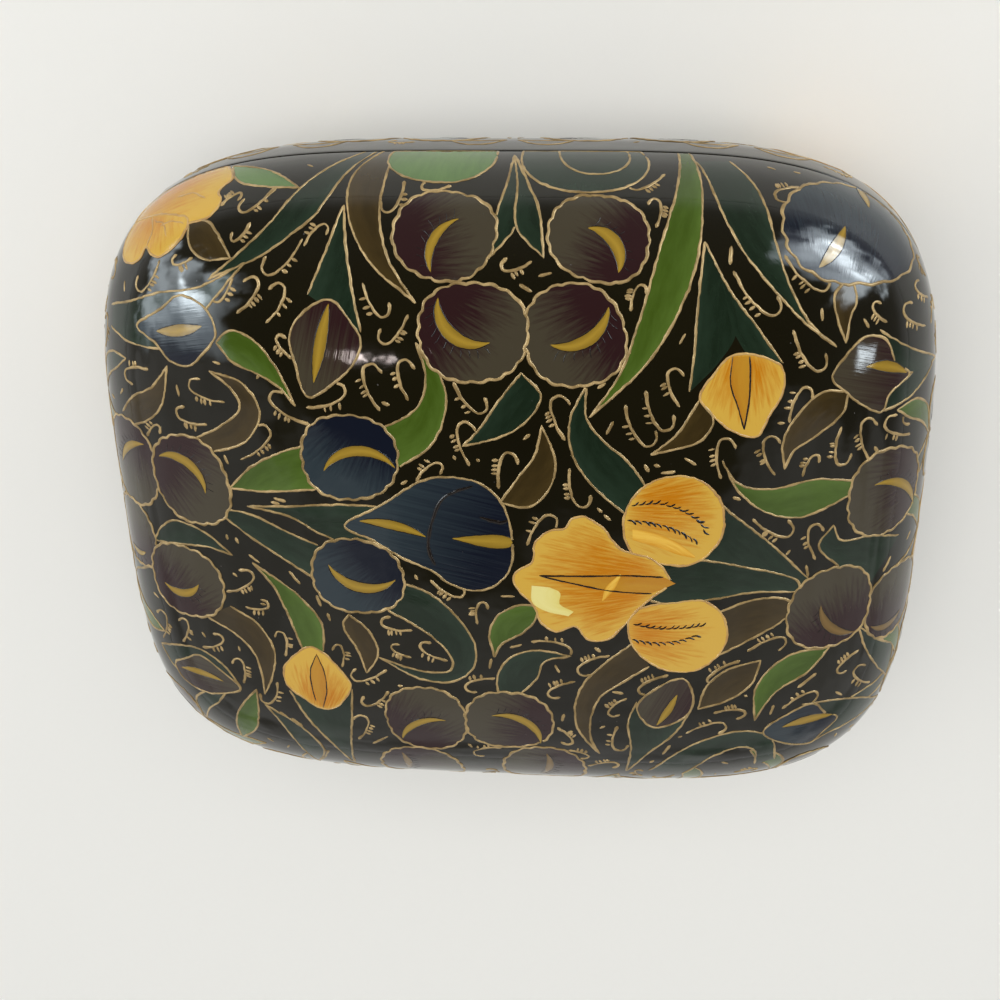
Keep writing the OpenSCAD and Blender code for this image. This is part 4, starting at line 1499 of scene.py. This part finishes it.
for x, y, to_x, to_y in (
    (-47.3, 23.3, -47.1, 21.6), (-40.6, 13.2, -40.1, 11.8), (3.4, 17.6, 4.4, 18.4), (13.8, 7.3, 14.6, 6.6),
    (14.8, 6.2, 15.8, 5.3), (20.4, 14.1, 21, 13), (21.7, 14.1, 22.6, 13.8), (22.7, 12.8, 24.7, 13),
    (25.9, 15.1, 27.6, 14), (24.7, 31.4, 25.5, 32.8), (13.7, 25.2, 14.8, 26), (15, 18.6, 15.9, 20.5),
    (33, 8.9, 34.1, 8.4), (31.8, 44.3, 31.5, 41.9), (5.5, 40.4, 7.3, 40.9), (2.9, 39.3, 4.6, 38.3),
    (44.1, 35.8, 44.2, 34.1), (50.4, 34, 51.2, 32.7), (41.3, -1, 41.9, -0.2), (44.5, -3, 45, -5),
    (58, -7, 59.3, -4.8), (-41.8, -0.1, -41.7, -1), (-40.3, -0.4, -39.9, -1.4), (-41.5, -6.7, -40.8, -7.3),
    (-37.4, -11.5, -36.5, -11.6), (-58.5, -15, -57.2, -15.5), (-48.6, -19, -48, -19.9),
    (-42.1, -20.2, -42, -21.1),
    (-38.4, -3.1, -36.8, -4.3), (-32.2, -5.2, -30.6, -7.3), (-28.2, -9, -27.6, -10.9),
    (-26.7, -12, -26.4, -13.4),
    (-16.7, -25, -15.9, -25.1), (-0.2, -7.7, 1.8, -7.7), (-12.9, -4.5, -12.5, -5.3),
    (-1.9, -19, -2.2, -20.9),
    (1, -16.8, 2.8, -16.2), (7.8, -19.8, 8.4, -21.2), (13.8, -16.3, 14.6, -17.1), (16.5, -24.7, 18.2, -25),
    (45, -25, 47.8, -22.7), (51.6, -27.4, 52.9, -28.6), (41, -30, 41.5, -28), (8.8, -31.3, 9.1, -29.7),
    (14.7, -32.6, 15.5, -32.1), (25.9, -36.4, 24.8, -38.9), (23, -41.6, 23.6, -40.8),
    (-6.4, -37.9, -5.8, -38.9),
    (-36.8, -32.8, -35.6, -34), (-35, -34, -33.4, -35.7), (-33.6, 26.6, -34.4, 25.4),
    (-14.2, 10.3, -13.2, 10.9),
    (-33.9, 6.3, -32.6, 6), (-33.4, 7, -31.6, 6.5), (53.6, 14.9, 54.4, 13.7), (38.6, 20, 39.6, 19.9),
    (-22.2, -39, -19.4, -36.8), (-16.4, 22.7, -15.3, 22.3), (29.3, 25.3, 29.4, 23.9),
    (-41, 27.4, -39.8, 27.2),
    (36.6, -25.5, 37.2, -25.8), (27, -34.4, 27.6, -34), (-3.2, 14.5, -2.8, 14.2), (-6.5, 15, -6.2, 14.3),
):
    dash(top, x, y, to_x, to_y)


# The painting on the tub's side
# The same irises and leaves run round the tub in groups, turned over from one group to the next. The
# drawing is unrolled here: x runs along the widest line, and y from a little below the joint to the foot.
side = side_sheet
group_count = 12
group_gap = girth / group_count


def side_group(x, colour, bud_colour, flip):
    """One iris with its leaves, and on every second one a bud, from the joint down to the foot."""
    def at(*points):
        return [(x + flip * px, py) for px, py in points]

    for paint, left, right in (
        (
            "green", [(-1, -29), (-8, -33), (-13, -29), (-16, -20), (-16.5, -7)],
            [(-1, -29), (-7, -30), (-11, -26), (-14, -18), (-16.5, -7)],
        ),
        (
            "bright", [(1, -29), (9, -32), (14.5, -27), (17.5, -18)],
            [(1, -29), (8.5, -29.5), (12.5, -25), (17.5, -18)],
        ),
        (
            "olive", [(7.5, -5), (10, -1.7), (13, -1.5), (16, -5)],
            [(7.5, -5), (10.5, -4), (13, -3.8), (16, -5)],
        ),
        (
            "green", [(-14, -35), (-6, -39.5), (3, -39), (11, -35)],
            [(-14, -35), (-5, -36), (3, -36), (11, -35)],
        ),
        (
            "olive", [(-8, -4), (-10.5, -1.5), (-13.5, -1.6), (-16.3, -4.6)],
            [(-8, -4), (-11, -4), (-13.5, -4), (-16.3, -4.6)],
        ),
    ):
        leaf(side, paint, at(*left), at(*right))
    for px, py, across, up, arc in (
        (-6.6, -10.5, 6.4, 6.6, [(-10.5, -6.5), (-6.4, -9.6), (-4.2, -14)]),
        (6.8, -11, 6.4, 6.4, [(10.6, -7.4), (6.6, -10), (4.4, -14.4)]),
        (0.2, -22, 7.2, 6.6, [(-4.4, -20), (0.4, -23.4), (5, -20.4)]),
    ):
        (cx, cy), = at((px, py))
        if colour == "yellow":
            turns = np.linspace(0, 2 * math.pi, 12, endpoint=False)
            frill = 1 + 0.05 * np.cos(turns * 5 + cx)
            rim = np.stack([cx + across * frill * np.cos(turns), cy + up * frill * np.sin(turns)], axis=1)
            yellow_petal(side, rim, (x, -15))
        else:
            petal(side, colour, cx, cy, across, up, 0, at(*arc), 1.4, 90 + flip * 40 * np.sign(px))
    if flip < 0:
        return
    bud_points = at(
        (16, -9), (19.5, -9.6), (21.2, -12.4), (19.6, -16), (16.6, -19.4), (13.8, -16), (13.2, -12),
    )
    if bud_colour == "yellow":
        yellow_petal(side, bud_points, at((16.5, -8))[0])
        for points in (
            [(16.6, -9.6), (15.8, -14), (16.6, -18.8)],
            [(18, -9.8), (18.6, -14), (16.8, -18.8)],
        ):
            stroke(side, *at(*points), width=0.22, colour="dark")
    else:
        bud(side, bud_colour, bud_points, at((16.6, -9.8), (17.3, -14), (16.6, -18.6)), 1.3, 90)


for number in range(group_count):
    side_group(
        (number + 0.5) * group_gap,
        ("plum", "yellow", "plum", "blue")[number % 4],
        ("yellow", "blue", "plum")[number % 3],
        1 if number % 2 else -1,
    )

# The hooks on the bare ground
# The painter fills whatever ground is left, down to the joint and all round the tub, with more hooks.
# They are set at random, each turned and shortened until it finds room.
def fill_with_hooks(sheet, low, high, wanted, gap=4.6):
    """Hooks at random on the bare ground of part of a sheet, as many as find room."""
    for row in np.arange(low[1], high[1], gap):
        for start in np.arange(low[0], high[0], gap):
            x, y = np.array([start, row]) + sheet.random.uniform(-1.2, 1.2, 2)
            for attempt in range(5):
                way = sheet.random.uniform(0, 2 * math.pi)
                length = sheet.random.uniform(3.4, 5.4) * (1 - 0.12 * attempt)
                curl = 1 if sheet.random.uniform() < 0.5 else -1
                run = np.array([math.cos(way), math.sin(way)])
                head = (x, y) + run * length
                cross = square_to(run) * curl
                room = np.array([
                    (x, y), (x, y) + run * length / 2, head, head + run * 0.8 + cross * 0.8,
                    (x, y) + run * length / 2 - cross * 0.9, head - cross * 0.9, head + cross * 1.6,
                ])
                if wanted(room) and sheet.bare(room):
                    hook(sheet, x, y, head[0], head[1], curl, ticks=3)
                    break


def fill_with_dashes(sheet, low, high, wanted, gap=2.4):
    """Short strokes at random in the small gaps that are left between the hooks."""
    for row in np.arange(low[1], high[1], gap):
        for start in np.arange(low[0], high[0], gap):
            spot = np.array([start, row]) + sheet.random.uniform(-0.8, 0.8, 2)
            way = sheet.random.uniform(0, 2 * math.pi)
            run = np.array([math.cos(way), math.sin(way)])
            cross = square_to(run)
            long = sheet.random.uniform(1.0, 1.8)
            room = np.array([
                spot + run * along + cross * aside
                for along in (-0.7, long / 2, long + 0.7) for aside in (-0.8, 0, 0.8)
            ])
            if wanted(room) and sheet.bare(room):
                dash(sheet, *spot, *(spot + run * long), width=0.42)


def on_the_lid(points):
    x, y = points[:, 0], points[:, 1]
    length = np.interp(np.mod(np.arctan2(y, x), 2 * math.pi), directions, top.surface.lengths)
    return bool((np.hypot(x, y) < length - 1.2).all())


def unseen_flank(points):
    x, y = points[:, 0], points[:, 1]
    return on_the_lid(points) and bool(((y < -44) | (np.abs(x) > 61) | (y > 58)).all())


def on_the_side(points):
    return bool(((points[:, 1] < -1) & (points[:, 1] > -41)).all())


lid_extent = ((-78, -70), (78, 70))
side_extent = ((2, -40), (girth - 2, -1))
fill_with_hooks(top, *lid_extent, unseen_flank)
fill_with_hooks(side, *side_extent, on_the_side)
fill_with_dashes(top, *lid_extent, on_the_lid)
fill_with_dashes(side, *side_extent, on_the_side)

# The paints
# Thick body colour in gum, laid with a fine brush, so that the strokes show. The gold is bronze powder
# in gum: it stands up in a ridge, and the varnish makes it shine.
def srgb(red, green, blue):
    """A colour given the way a colour picker shows it, from 0 to 255."""
    def linear(value):
        value /= 255
        return value / 12.92 if value <= 0.04045 else ((value + 0.055) / 1.055) ** 2.4
    return (linear(red), linear(green), linear(blue), 1)


def brushed_paint_group():
    """Two tones of one paint, mixed by the shade of the film and by the marks of the brush."""
    tree, given, result, add = new_tree(
        "brushed_paint", "ShaderNodeTree",
        [
            ("Dark", "NodeSocketColor", (0, 0, 0, 1)),
            ("Pale", "NodeSocketColor", (1, 1, 1, 1)),
            ("Strokes Per mm", "NodeSocketFloat", 1.5),
            ("Brush Marks", "NodeSocketFloat", 0.5),
        ],
        [("Colour", "NodeSocketColor"), ("Height", "NodeSocketFloat")],
    )
    run = add("ShaderNodeUVMap", uv_map="strokes").outputs[0]
    apart = add("ShaderNodeSeparateXYZ", {0: run})
    total = sum_adder(add)
    across = total("MULTIPLY", apart.outputs[0], given["Strokes Per mm"])
    along = total("MULTIPLY", apart.outputs[1], 0.22)
    place = add("ShaderNodeCombineXYZ", {0: across, 1: along}).outputs[0]
    marks = add("ShaderNodeTexNoise", {"Vector": place, "Scale": 1, "Detail": 3, "Roughness": 0.6})
    strength = total("MULTIPLY", given["Brush Marks"], 4)
    swing = total("MULTIPLY", total("SUBTRACT", marks.outputs[0], 0.5), strength)
    shade = add("ShaderNodeAttribute", attribute_name="shade").outputs["Fac"]
    tone = add("ShaderNodeMath", {0: shade, 1: swing}, use_clamp=True).outputs[0]
    tree.links.new(mixed(add, tone, given["Dark"], given["Pale"]), result["Colour"])
    tree.links.new(marks.outputs[0], result["Height"])
    return tree


brushed_paint = brushed_paint_group()


def paint_material(name, dark, pale, strokes, marks):
    material, add, into, waves = varnished(name)
    given = {"Dark": dark, "Pale": pale, "Strokes Per mm": strokes, "Brush Marks": marks}
    brushed = add("ShaderNodeGroup", given, node_tree=brushed_paint).outputs
    into("Base Color", brushed["Colour"])
    relief = sum_adder(add)("MULTIPLY_ADD", brushed["Height"], 0.18, waves["Height"])
    into("Normal", bump(add, relief, 0.5, varnish_wave_h))
    return material


def line_material(name, dark, pale, rough, metal):
    material, add, into, waves = varnished(name)
    place = add("ShaderNodeTexCoord").outputs["Object"]
    pools = add("ShaderNodeTexNoise", {"Vector": place, "Scale": 420, "Detail": 3})
    spread = add("ShaderNodeMapRange", {"Value": pools.outputs[0], "From Min": 0.35, "From Max": 0.65})
    into("Base Color", mixed(add, spread.outputs[0], dark, pale))
    shader = material.node_tree.nodes["Principled BSDF"]
    shader.inputs["Metallic"].default_value = metal
    shader.inputs["Roughness"].default_value = rough
    return material


paints = {
    "plum": paint_material("plum_paint", srgb(44, 25, 26), srgb(66, 60, 47), 2.6, 0.5),
    "blue": paint_material("blue_paint", srgb(18, 22, 34), srgb(44, 54, 60), 2.6, 0.35),
    "yellow": paint_material("yellow_paint", srgb(204, 164, 68), srgb(186, 116, 14), 2.8, 0.55),
    "amber": paint_material("amber_paint", srgb(182, 132, 40), srgb(172, 112, 28), 1.4, 0.3),
    # This bright yellow is a painted highlight, laid only in the glow strips.
    "glow": paint_material("painted_highlight_yellow_paint", srgb(226, 182, 76), srgb(202, 144, 40), 2.4, 0.5),
    "lemon": paint_material("lemon_paint", srgb(224, 214, 140), srgb(216, 200, 110), 1.4, 0.3),
    # This darker mustard is the crescent paint with painted shade, used on the lid's lower flanks.
    "shaded_mustard": paint_material("shaded_mustard_paint", srgb(122, 96, 52), srgb(96, 74, 38), 1.6, 0.3),
    "mustard": paint_material("mustard_paint", srgb(160, 130, 46), srgb(128, 102, 34), 1.6, 0.3),
    "bright": paint_material("bright_green_paint", srgb(60, 80, 21), srgb(82, 106, 42), 0.9, 0.25),
    "green": paint_material("bottle_green_paint", srgb(24, 36, 24), srgb(38, 53, 40), 0.9, 0.3),
    "olive": paint_material("brown_leaf_paint", srgb(52, 41, 19), srgb(70, 56, 28), 0.9, 0.3),
    # The pale green is a real paler green, made lighter still as a painted sheen for the whitish
    # reflection in the varnish on the flank where it is used.
    "pale": paint_material("pale_green_paint_with_painted_sheen", srgb(96, 124, 72), srgb(80, 106, 62), 0.9, 0.3),
}
line_paints = {
    "gold": line_material("gold_line_paint", srgb(132, 108, 64), srgb(184, 157, 108), 0.36, 0.15),
    "dark": line_material("dark_line_paint", srgb(12, 8, 6), srgb(26, 16, 9), 0.25, 0),
    "ochre": line_material("ochre_line_paint", srgb(172, 132, 76), srgb(200, 164, 100), 0.3, 0),
}


# The films of paint
# Each colour on each half of the box is one piece: all its films, lying just above the ground and just
# above each other where they overlap, with their edges under the gold lines.
film_merge_gap = 0.002 * MM
sliver_area = 0.002 * MM ** 2


def lay_films(sheet, colour):
    corners, faces, runs, shades = [], [], [], []
    start = 0
    for grid, lift, strokes, shade in sheet.films.get(colour, ()):
        points, outward = sheet.lay(grid, lift)
        rows, columns = grid.shape[:2]
        index = np.arange(rows * columns).reshape(rows, columns)
        ring = [index[:-1, :-1], index[1:, :-1], index[1:, 1:], index[:-1, 1:]]
        quads = np.stack(ring, axis=-1).reshape(-1, 4)
        down = points[1:, :-1] - points[:-1, :-1]
        over = points[:-1, 1:] - points[:-1, :-1]
        if (np.cross(down, over) * outward[:-1, :-1]).sum() < 0:
            quads = quads[:, ::-1]
        run = strokes.reshape(-1, 2)[quads]
        reach = strokes[..., 0].max() - strokes[..., 0].min()
        first = run[..., 0]
        torn = (first.max(axis=1) - first.min(axis=1)) > reach / 2
        low_side = first < first.mean(axis=1, keepdims=True)
        run[..., 0] = first + reach * (torn[:, None] & low_side)
        corners.append(points.reshape(-1, 3))
        faces.append(quads + start)
        runs.append(run.reshape(-1, 2))
        shades.append(np.broadcast_to(shade, (rows, columns)).reshape(-1))
        start += rows * columns
    if not corners:
        return
    name = f"{sheet.body}_{colour}_paint"
    mesh = bpy.data.meshes.new(name)
    mesh.from_pydata(np.concatenate(corners).tolist(), [], np.concatenate(faces).tolist())
    mesh.uv_layers.new(name="strokes").data.foreach_set("uv", np.concatenate(runs).reshape(-1))
    shade = mesh.attributes.new("shade", "FLOAT", "POINT")
    shade.data.foreach_set("value", np.concatenate(shades))
    shape = bmesh.new()
    shape.from_mesh(mesh)
    bmesh.ops.remove_doubles(shape, verts=shape.verts, dist=film_merge_gap)
    slivers = [face for face in shape.faces if face.calc_area() < sliver_area]
    bmesh.ops.delete(shape, geom=slivers, context="FACES")
    for face in shape.faces:
        face.smooth = True
    shape.to_mesh(mesh)
    shape.free()
    places = np.empty(len(mesh.vertices) * 3)
    mesh.vertices.foreach_get("co", places)
    places = places.reshape(-1, 3) / MM
    mesh.normals_split_custom_set_from_vertices(facing(*places.T).tolist())
    mesh.materials.append(paints[colour])
    piece = new_object(name, mesh)
    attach(piece, sheet.body)


for sheet in (lid_sheet, side_sheet):
    for colour in paints:
        lay_films(sheet, colour)


# The drawn lines
# Gold, ochre and dark lines follow the brush: a flat ridge of paint with six sides is drawn along each
# line, as wide as the brush was pressed there, and stands square to the lacquer.
def brush_tree():
    """Geometry Nodes that draw a flat ridge of paint along lines that know their width and way out."""
    tree, given, result, add = new_tree(
        "draw_with_brush", "GeometryNodeTree",
        [
            ("Lines", "NodeSocketGeometry"),
            ("Flatness", "NodeSocketFloat", 0.36),
            ("Sides", "NodeSocketInt", 6),
            ("Paint", "NodeSocketMaterial"),
        ],
        [("Ridges", "NodeSocketGeometry")],
    )

    def stored(kind, name):
        return add("GeometryNodeInputNamedAttribute", {"Name": name}, data_type=kind).outputs["Attribute"]

    curve = add("GeometryNodeMeshToCurve", {"Mesh": given["Lines"]})
    standing = add(
        "GeometryNodeSetCurveNormal",
        {"Curve": curve.outputs[0], "Normal": stored("FLOAT_VECTOR", "outward")}, mode="FREE",
    )
    ring = add("GeometryNodeCurvePrimitiveCircle", {"Radius": 1, "Resolution": given["Sides"]})
    squash = add("ShaderNodeCombineXYZ", {"X": given["Flatness"], "Y": 1, "Z": 1})
    flattened = add(
        "GeometryNodeTransform", {"Geometry": ring.outputs["Curve"], "Scale": squash.outputs[0]},
    )
    ridge = add("GeometryNodeCurveToMesh", {
        "Curve": standing.outputs[0],
        "Profile Curve": flattened.outputs[0],
        "Scale": stored("FLOAT", "half_width"),
        "Fill Caps": True,
    })
    finish_shape(tree, add, ridge.outputs[0], given["Paint"], result["Ridges"])
    return tree


draw_with_brush = brush_tree()


def seen_runs(sheet, points, order):
    """The stretches of a line that no later film covers, and the lift of the films it lies on."""
    hidden = np.zeros(len(points), bool)
    lift = 0
    low, high = points.min(axis=0), points.max(axis=0)
    for number, (outline, layer) in enumerate(sheet.covers):
        if (outline.min(axis=0) > high).any() or (outline.max(axis=0) < low).any():
            continue
        within = inside(points, outline)
        if number >= order:
            hidden |= within
        elif within.any():
            lift = max(lift, film_lift + film_gap * layer)
    edges = np.flatnonzero(np.diff(np.concatenate([[True], hidden, [True]]).astype(int)))
    starts, ends = edges[::2], edges[1::2]
    return [(start, end) for start, end in zip(starts, ends) if end - start > 1], lift


def draw_lines(sheet, colour):
    places, outwards, halves, edges = [], [], [], []
    count = 0
    for points, widths, paint, order in sheet.lines:
        if paint != colour:
            continue
        runs, lift = seen_runs(sheet, points, order)
        for start, end in runs:
            place, outward = sheet.lay(points[start:end], lift)
            places.append(place)
            outwards.append(outward)
            halves.append(widths[start:end] / 2 * MM)
            index = np.arange(count, count + end - start)
            edges.append(np.stack([index[:-1], index[1:]], axis=1))
            count += end - start
    name = f"{sheet.body}_{colour}_lines"
    mesh = bpy.data.meshes.new(name)
    mesh.from_pydata(np.concatenate(places).tolist(), np.concatenate(edges).tolist(), [])
    outward = mesh.attributes.new("outward", "FLOAT_VECTOR", "POINT")
    outward.data.foreach_set("vector", np.concatenate(outwards).reshape(-1))
    half_width = mesh.attributes.new("half_width", "FLOAT", "POINT")
    half_width.data.foreach_set("value", np.concatenate(halves))
    piece = new_object(name, mesh)
    nodes = piece.modifiers.new("brush", "NODES")
    nodes.node_group = draw_with_brush
    tree_input(nodes, "Paint", line_paints[colour])
    grown(piece)
    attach(piece, sheet.body)


for sheet in (lid_sheet, side_sheet):
    for colour in line_paints:
        draw_lines(sheet, colour)

# The table, the windows and the camera
# A wide pale table top in a dim room. Two windows, each with a bright patch of sky, a small gap of light
# on the right, a pale wall and two small ceiling lamps show in the varnish. The light itself comes from
# large soft lamps, which the varnish doesn't show, and from the pale room all round.
table_half = 6.0
table_mesh = bpy.data.meshes.new("table")
table_corners = [(-1, -1), (1, -1), (1, 1), (-1, 1)]
table_places = [(x * table_half, y * table_half, 0) for x, y in table_corners]
table_mesh.from_pydata(table_places, [], [(0, 1, 2, 3)])
table = new_object("table", table_mesh)
table_white, table_shader, *_ = new_material("table_white")
table_shader.inputs["Base Color"].default_value = (0.84, 0.84, 0.815, 1)
table_shader.inputs["Roughness"].default_value = 0.6
table_mesh.materials.append(table_white)


def window(name, azimuth, height, distance, width, tall, radiance, colour):
    """A lit rectangle that faces the middle of the lid from a direction and a height above it."""
    level, up = heading(height)
    way = mathutils.Vector((*heading(azimuth) * level, up))
    light = bpy.data.lights.new(name, "AREA")
    light.shape = "RECTANGLE"
    light.size = width
    light.size_y = tall
    light.energy = radiance * math.pi * width * tall
    light.color = colour
    lamp = new_object(name, light)
    lamp.location = mathutils.Vector((0, 0, top_z * MM)) + way * distance
    lamp.rotation_euler = way.to_track_quat("Z", "Y").to_euler()
    return lamp


for azimuth, height, width in ((178, 75.5, 0.05), (180, 77.6, 0.02)):
    tall = width * 0.35
    ceiling_lamp = window("ceiling_lamp", azimuth, height, 1.1, width, tall, 34, (1.0, 0.86, 0.82))
    ceiling_lamp.visible_diffuse = False
for name, azimuth, height, distance, width, radiance in (
    ("left_window", 165, 35, 1.2, 0.8, 1.0), ("right_window", 46, 30, 1.2, 0.5, 1.0),
    ("overhead_light", 84, 66, 1.5, 1.5, 2.2),
):
    lamp = window(name, azimuth, height, distance, width, width, radiance, (1.0, 0.985, 0.96))
    lamp.visible_glossy = False

world = bpy.data.worlds.new("room")
world.use_nodes = True
bpy.context.scene.world = world
room = world.node_tree
horizon = room.nodes["Background"]
add = node_adder(room)
room_sum = sum_adder(add)
direction = add("ShaderNodeTexCoord").outputs["Generated"]
east, north, up = add("ShaderNodeSeparateXYZ", {0: direction}).outputs
glossy = add("ShaderNodeLightPath").outputs["Is Glossy Ray"]
haze = add("ShaderNodeTexNoise", {"Vector": direction, "Scale": 7, "Detail": 5}).outputs[0]
wall_levels = ((0.0, 0.8), (0.05, 0.6), (0.2, 0.14), (0.7, 0.08), (0.93, 0.01))
wall_stops = [(height, (brightness,) * 3) for height, brightness in wall_levels]
wall_light = ramp(add, up, *wall_stops, blend="B_SPLINE")
room_light = 0.47


def soft_edge(value, start, end):
    given = {"Value": value, "From Min": start, "From Max": end}
    return add("ShaderNodeMapRange", given, interpolation_type="SMOOTHSTEP").outputs["Result"]


def pane(azimuth, height, half_across, half_up, soft, radiance, patchy=1):
    """A patch of daylight in one direction, patchy and with soft wandering edges. Angles in degrees."""
    c, s = heading(azimuth).tolist()
    towards = room_sum("MULTIPLY_ADD", north, s, room_sum("MULTIPLY", east, c))
    across = room_sum("MULTIPLY_ADD", east, -s, room_sum("MULTIPLY", north, c))
    wander = room_sum("MULTIPLY_ADD", haze, soft * 4, -soft * 2)
    aside = room_sum("MULTIPLY_ADD", room_sum("ARCTAN2", across, towards), math.degrees(1), wander)
    above = room_sum("MULTIPLY_ADD", room_sum("ARCSINE", up), math.degrees(1), wander)
    within = soft_edge(room_sum("ABSOLUTE", aside), half_across, half_across - soft)
    off = room_sum("ABSOLUTE", room_sum("SUBTRACT", above, height))
    both = room_sum("MULTIPLY", within, soft_edge(off, half_up, half_up - soft))
    patches = soft_edge(haze, 0.35, 0.62)
    uneven = room_sum("MULTIPLY_ADD", patches, radiance * patchy, radiance * (1 - patchy / 2))
    return room_sum("MULTIPLY", both, uneven)


pale_wall = pane(262, 34, 78, 29, 9, 0.4, patchy=0.3)
daylight = 0
for azimuth, height, half_across, half_up, soft, radiance in (
    (166, 32, 24, 24, 9, 4.2), (166, 40, 9, 9, 6, 14),
    (38, 27, 25, 20, 7, 5.6), (40, 25, 16, 8, 6, 16), (352, 34, 4, 6, 3, 16),
):
    daylight = room_sum("ADD", pane(azimuth, height, half_across, half_up, soft, radiance), daylight)
shown = room_sum("ADD", daylight, room_sum("ADD", pale_wall, wall_light))
level = add("ShaderNodeMix", {"Factor": glossy, "A": room_light, "B": shown}).outputs["Result"]
blueness = room_sum("MULTIPLY", room_sum("MINIMUM", daylight, 1), glossy)
room.links.new(mixed(add, blueness, (1.0, 1.0, 0.985, 1), (0.84, 0.94, 1.0, 1)), horizon.inputs["Color"])
room.links.new(level, horizon.inputs["Strength"])

camera_at = mathutils.Vector((18.485, 98.895, 231.247)) * MM
camera_turns = (0.4681, -0.0927, 0.0199)
view = bpy.data.cameras.new("view")
view.lens = 50.88
view.sensor_width = 36
camera = new_object("view", view)
turned_about = [mathutils.Matrix.Rotation(turn, 4, axis) for turn, axis in zip(camera_turns, "XYZ")]
world_to_camera = turned_about[0] @ turned_about[1] @ turned_about[2]
camera.matrix_world = mathutils.Matrix.Translation(camera_at) @ world_to_camera.transposed()
bpy.context.scene.camera = camera
bpy.context.scene.view_settings.view_transform = "Standard"
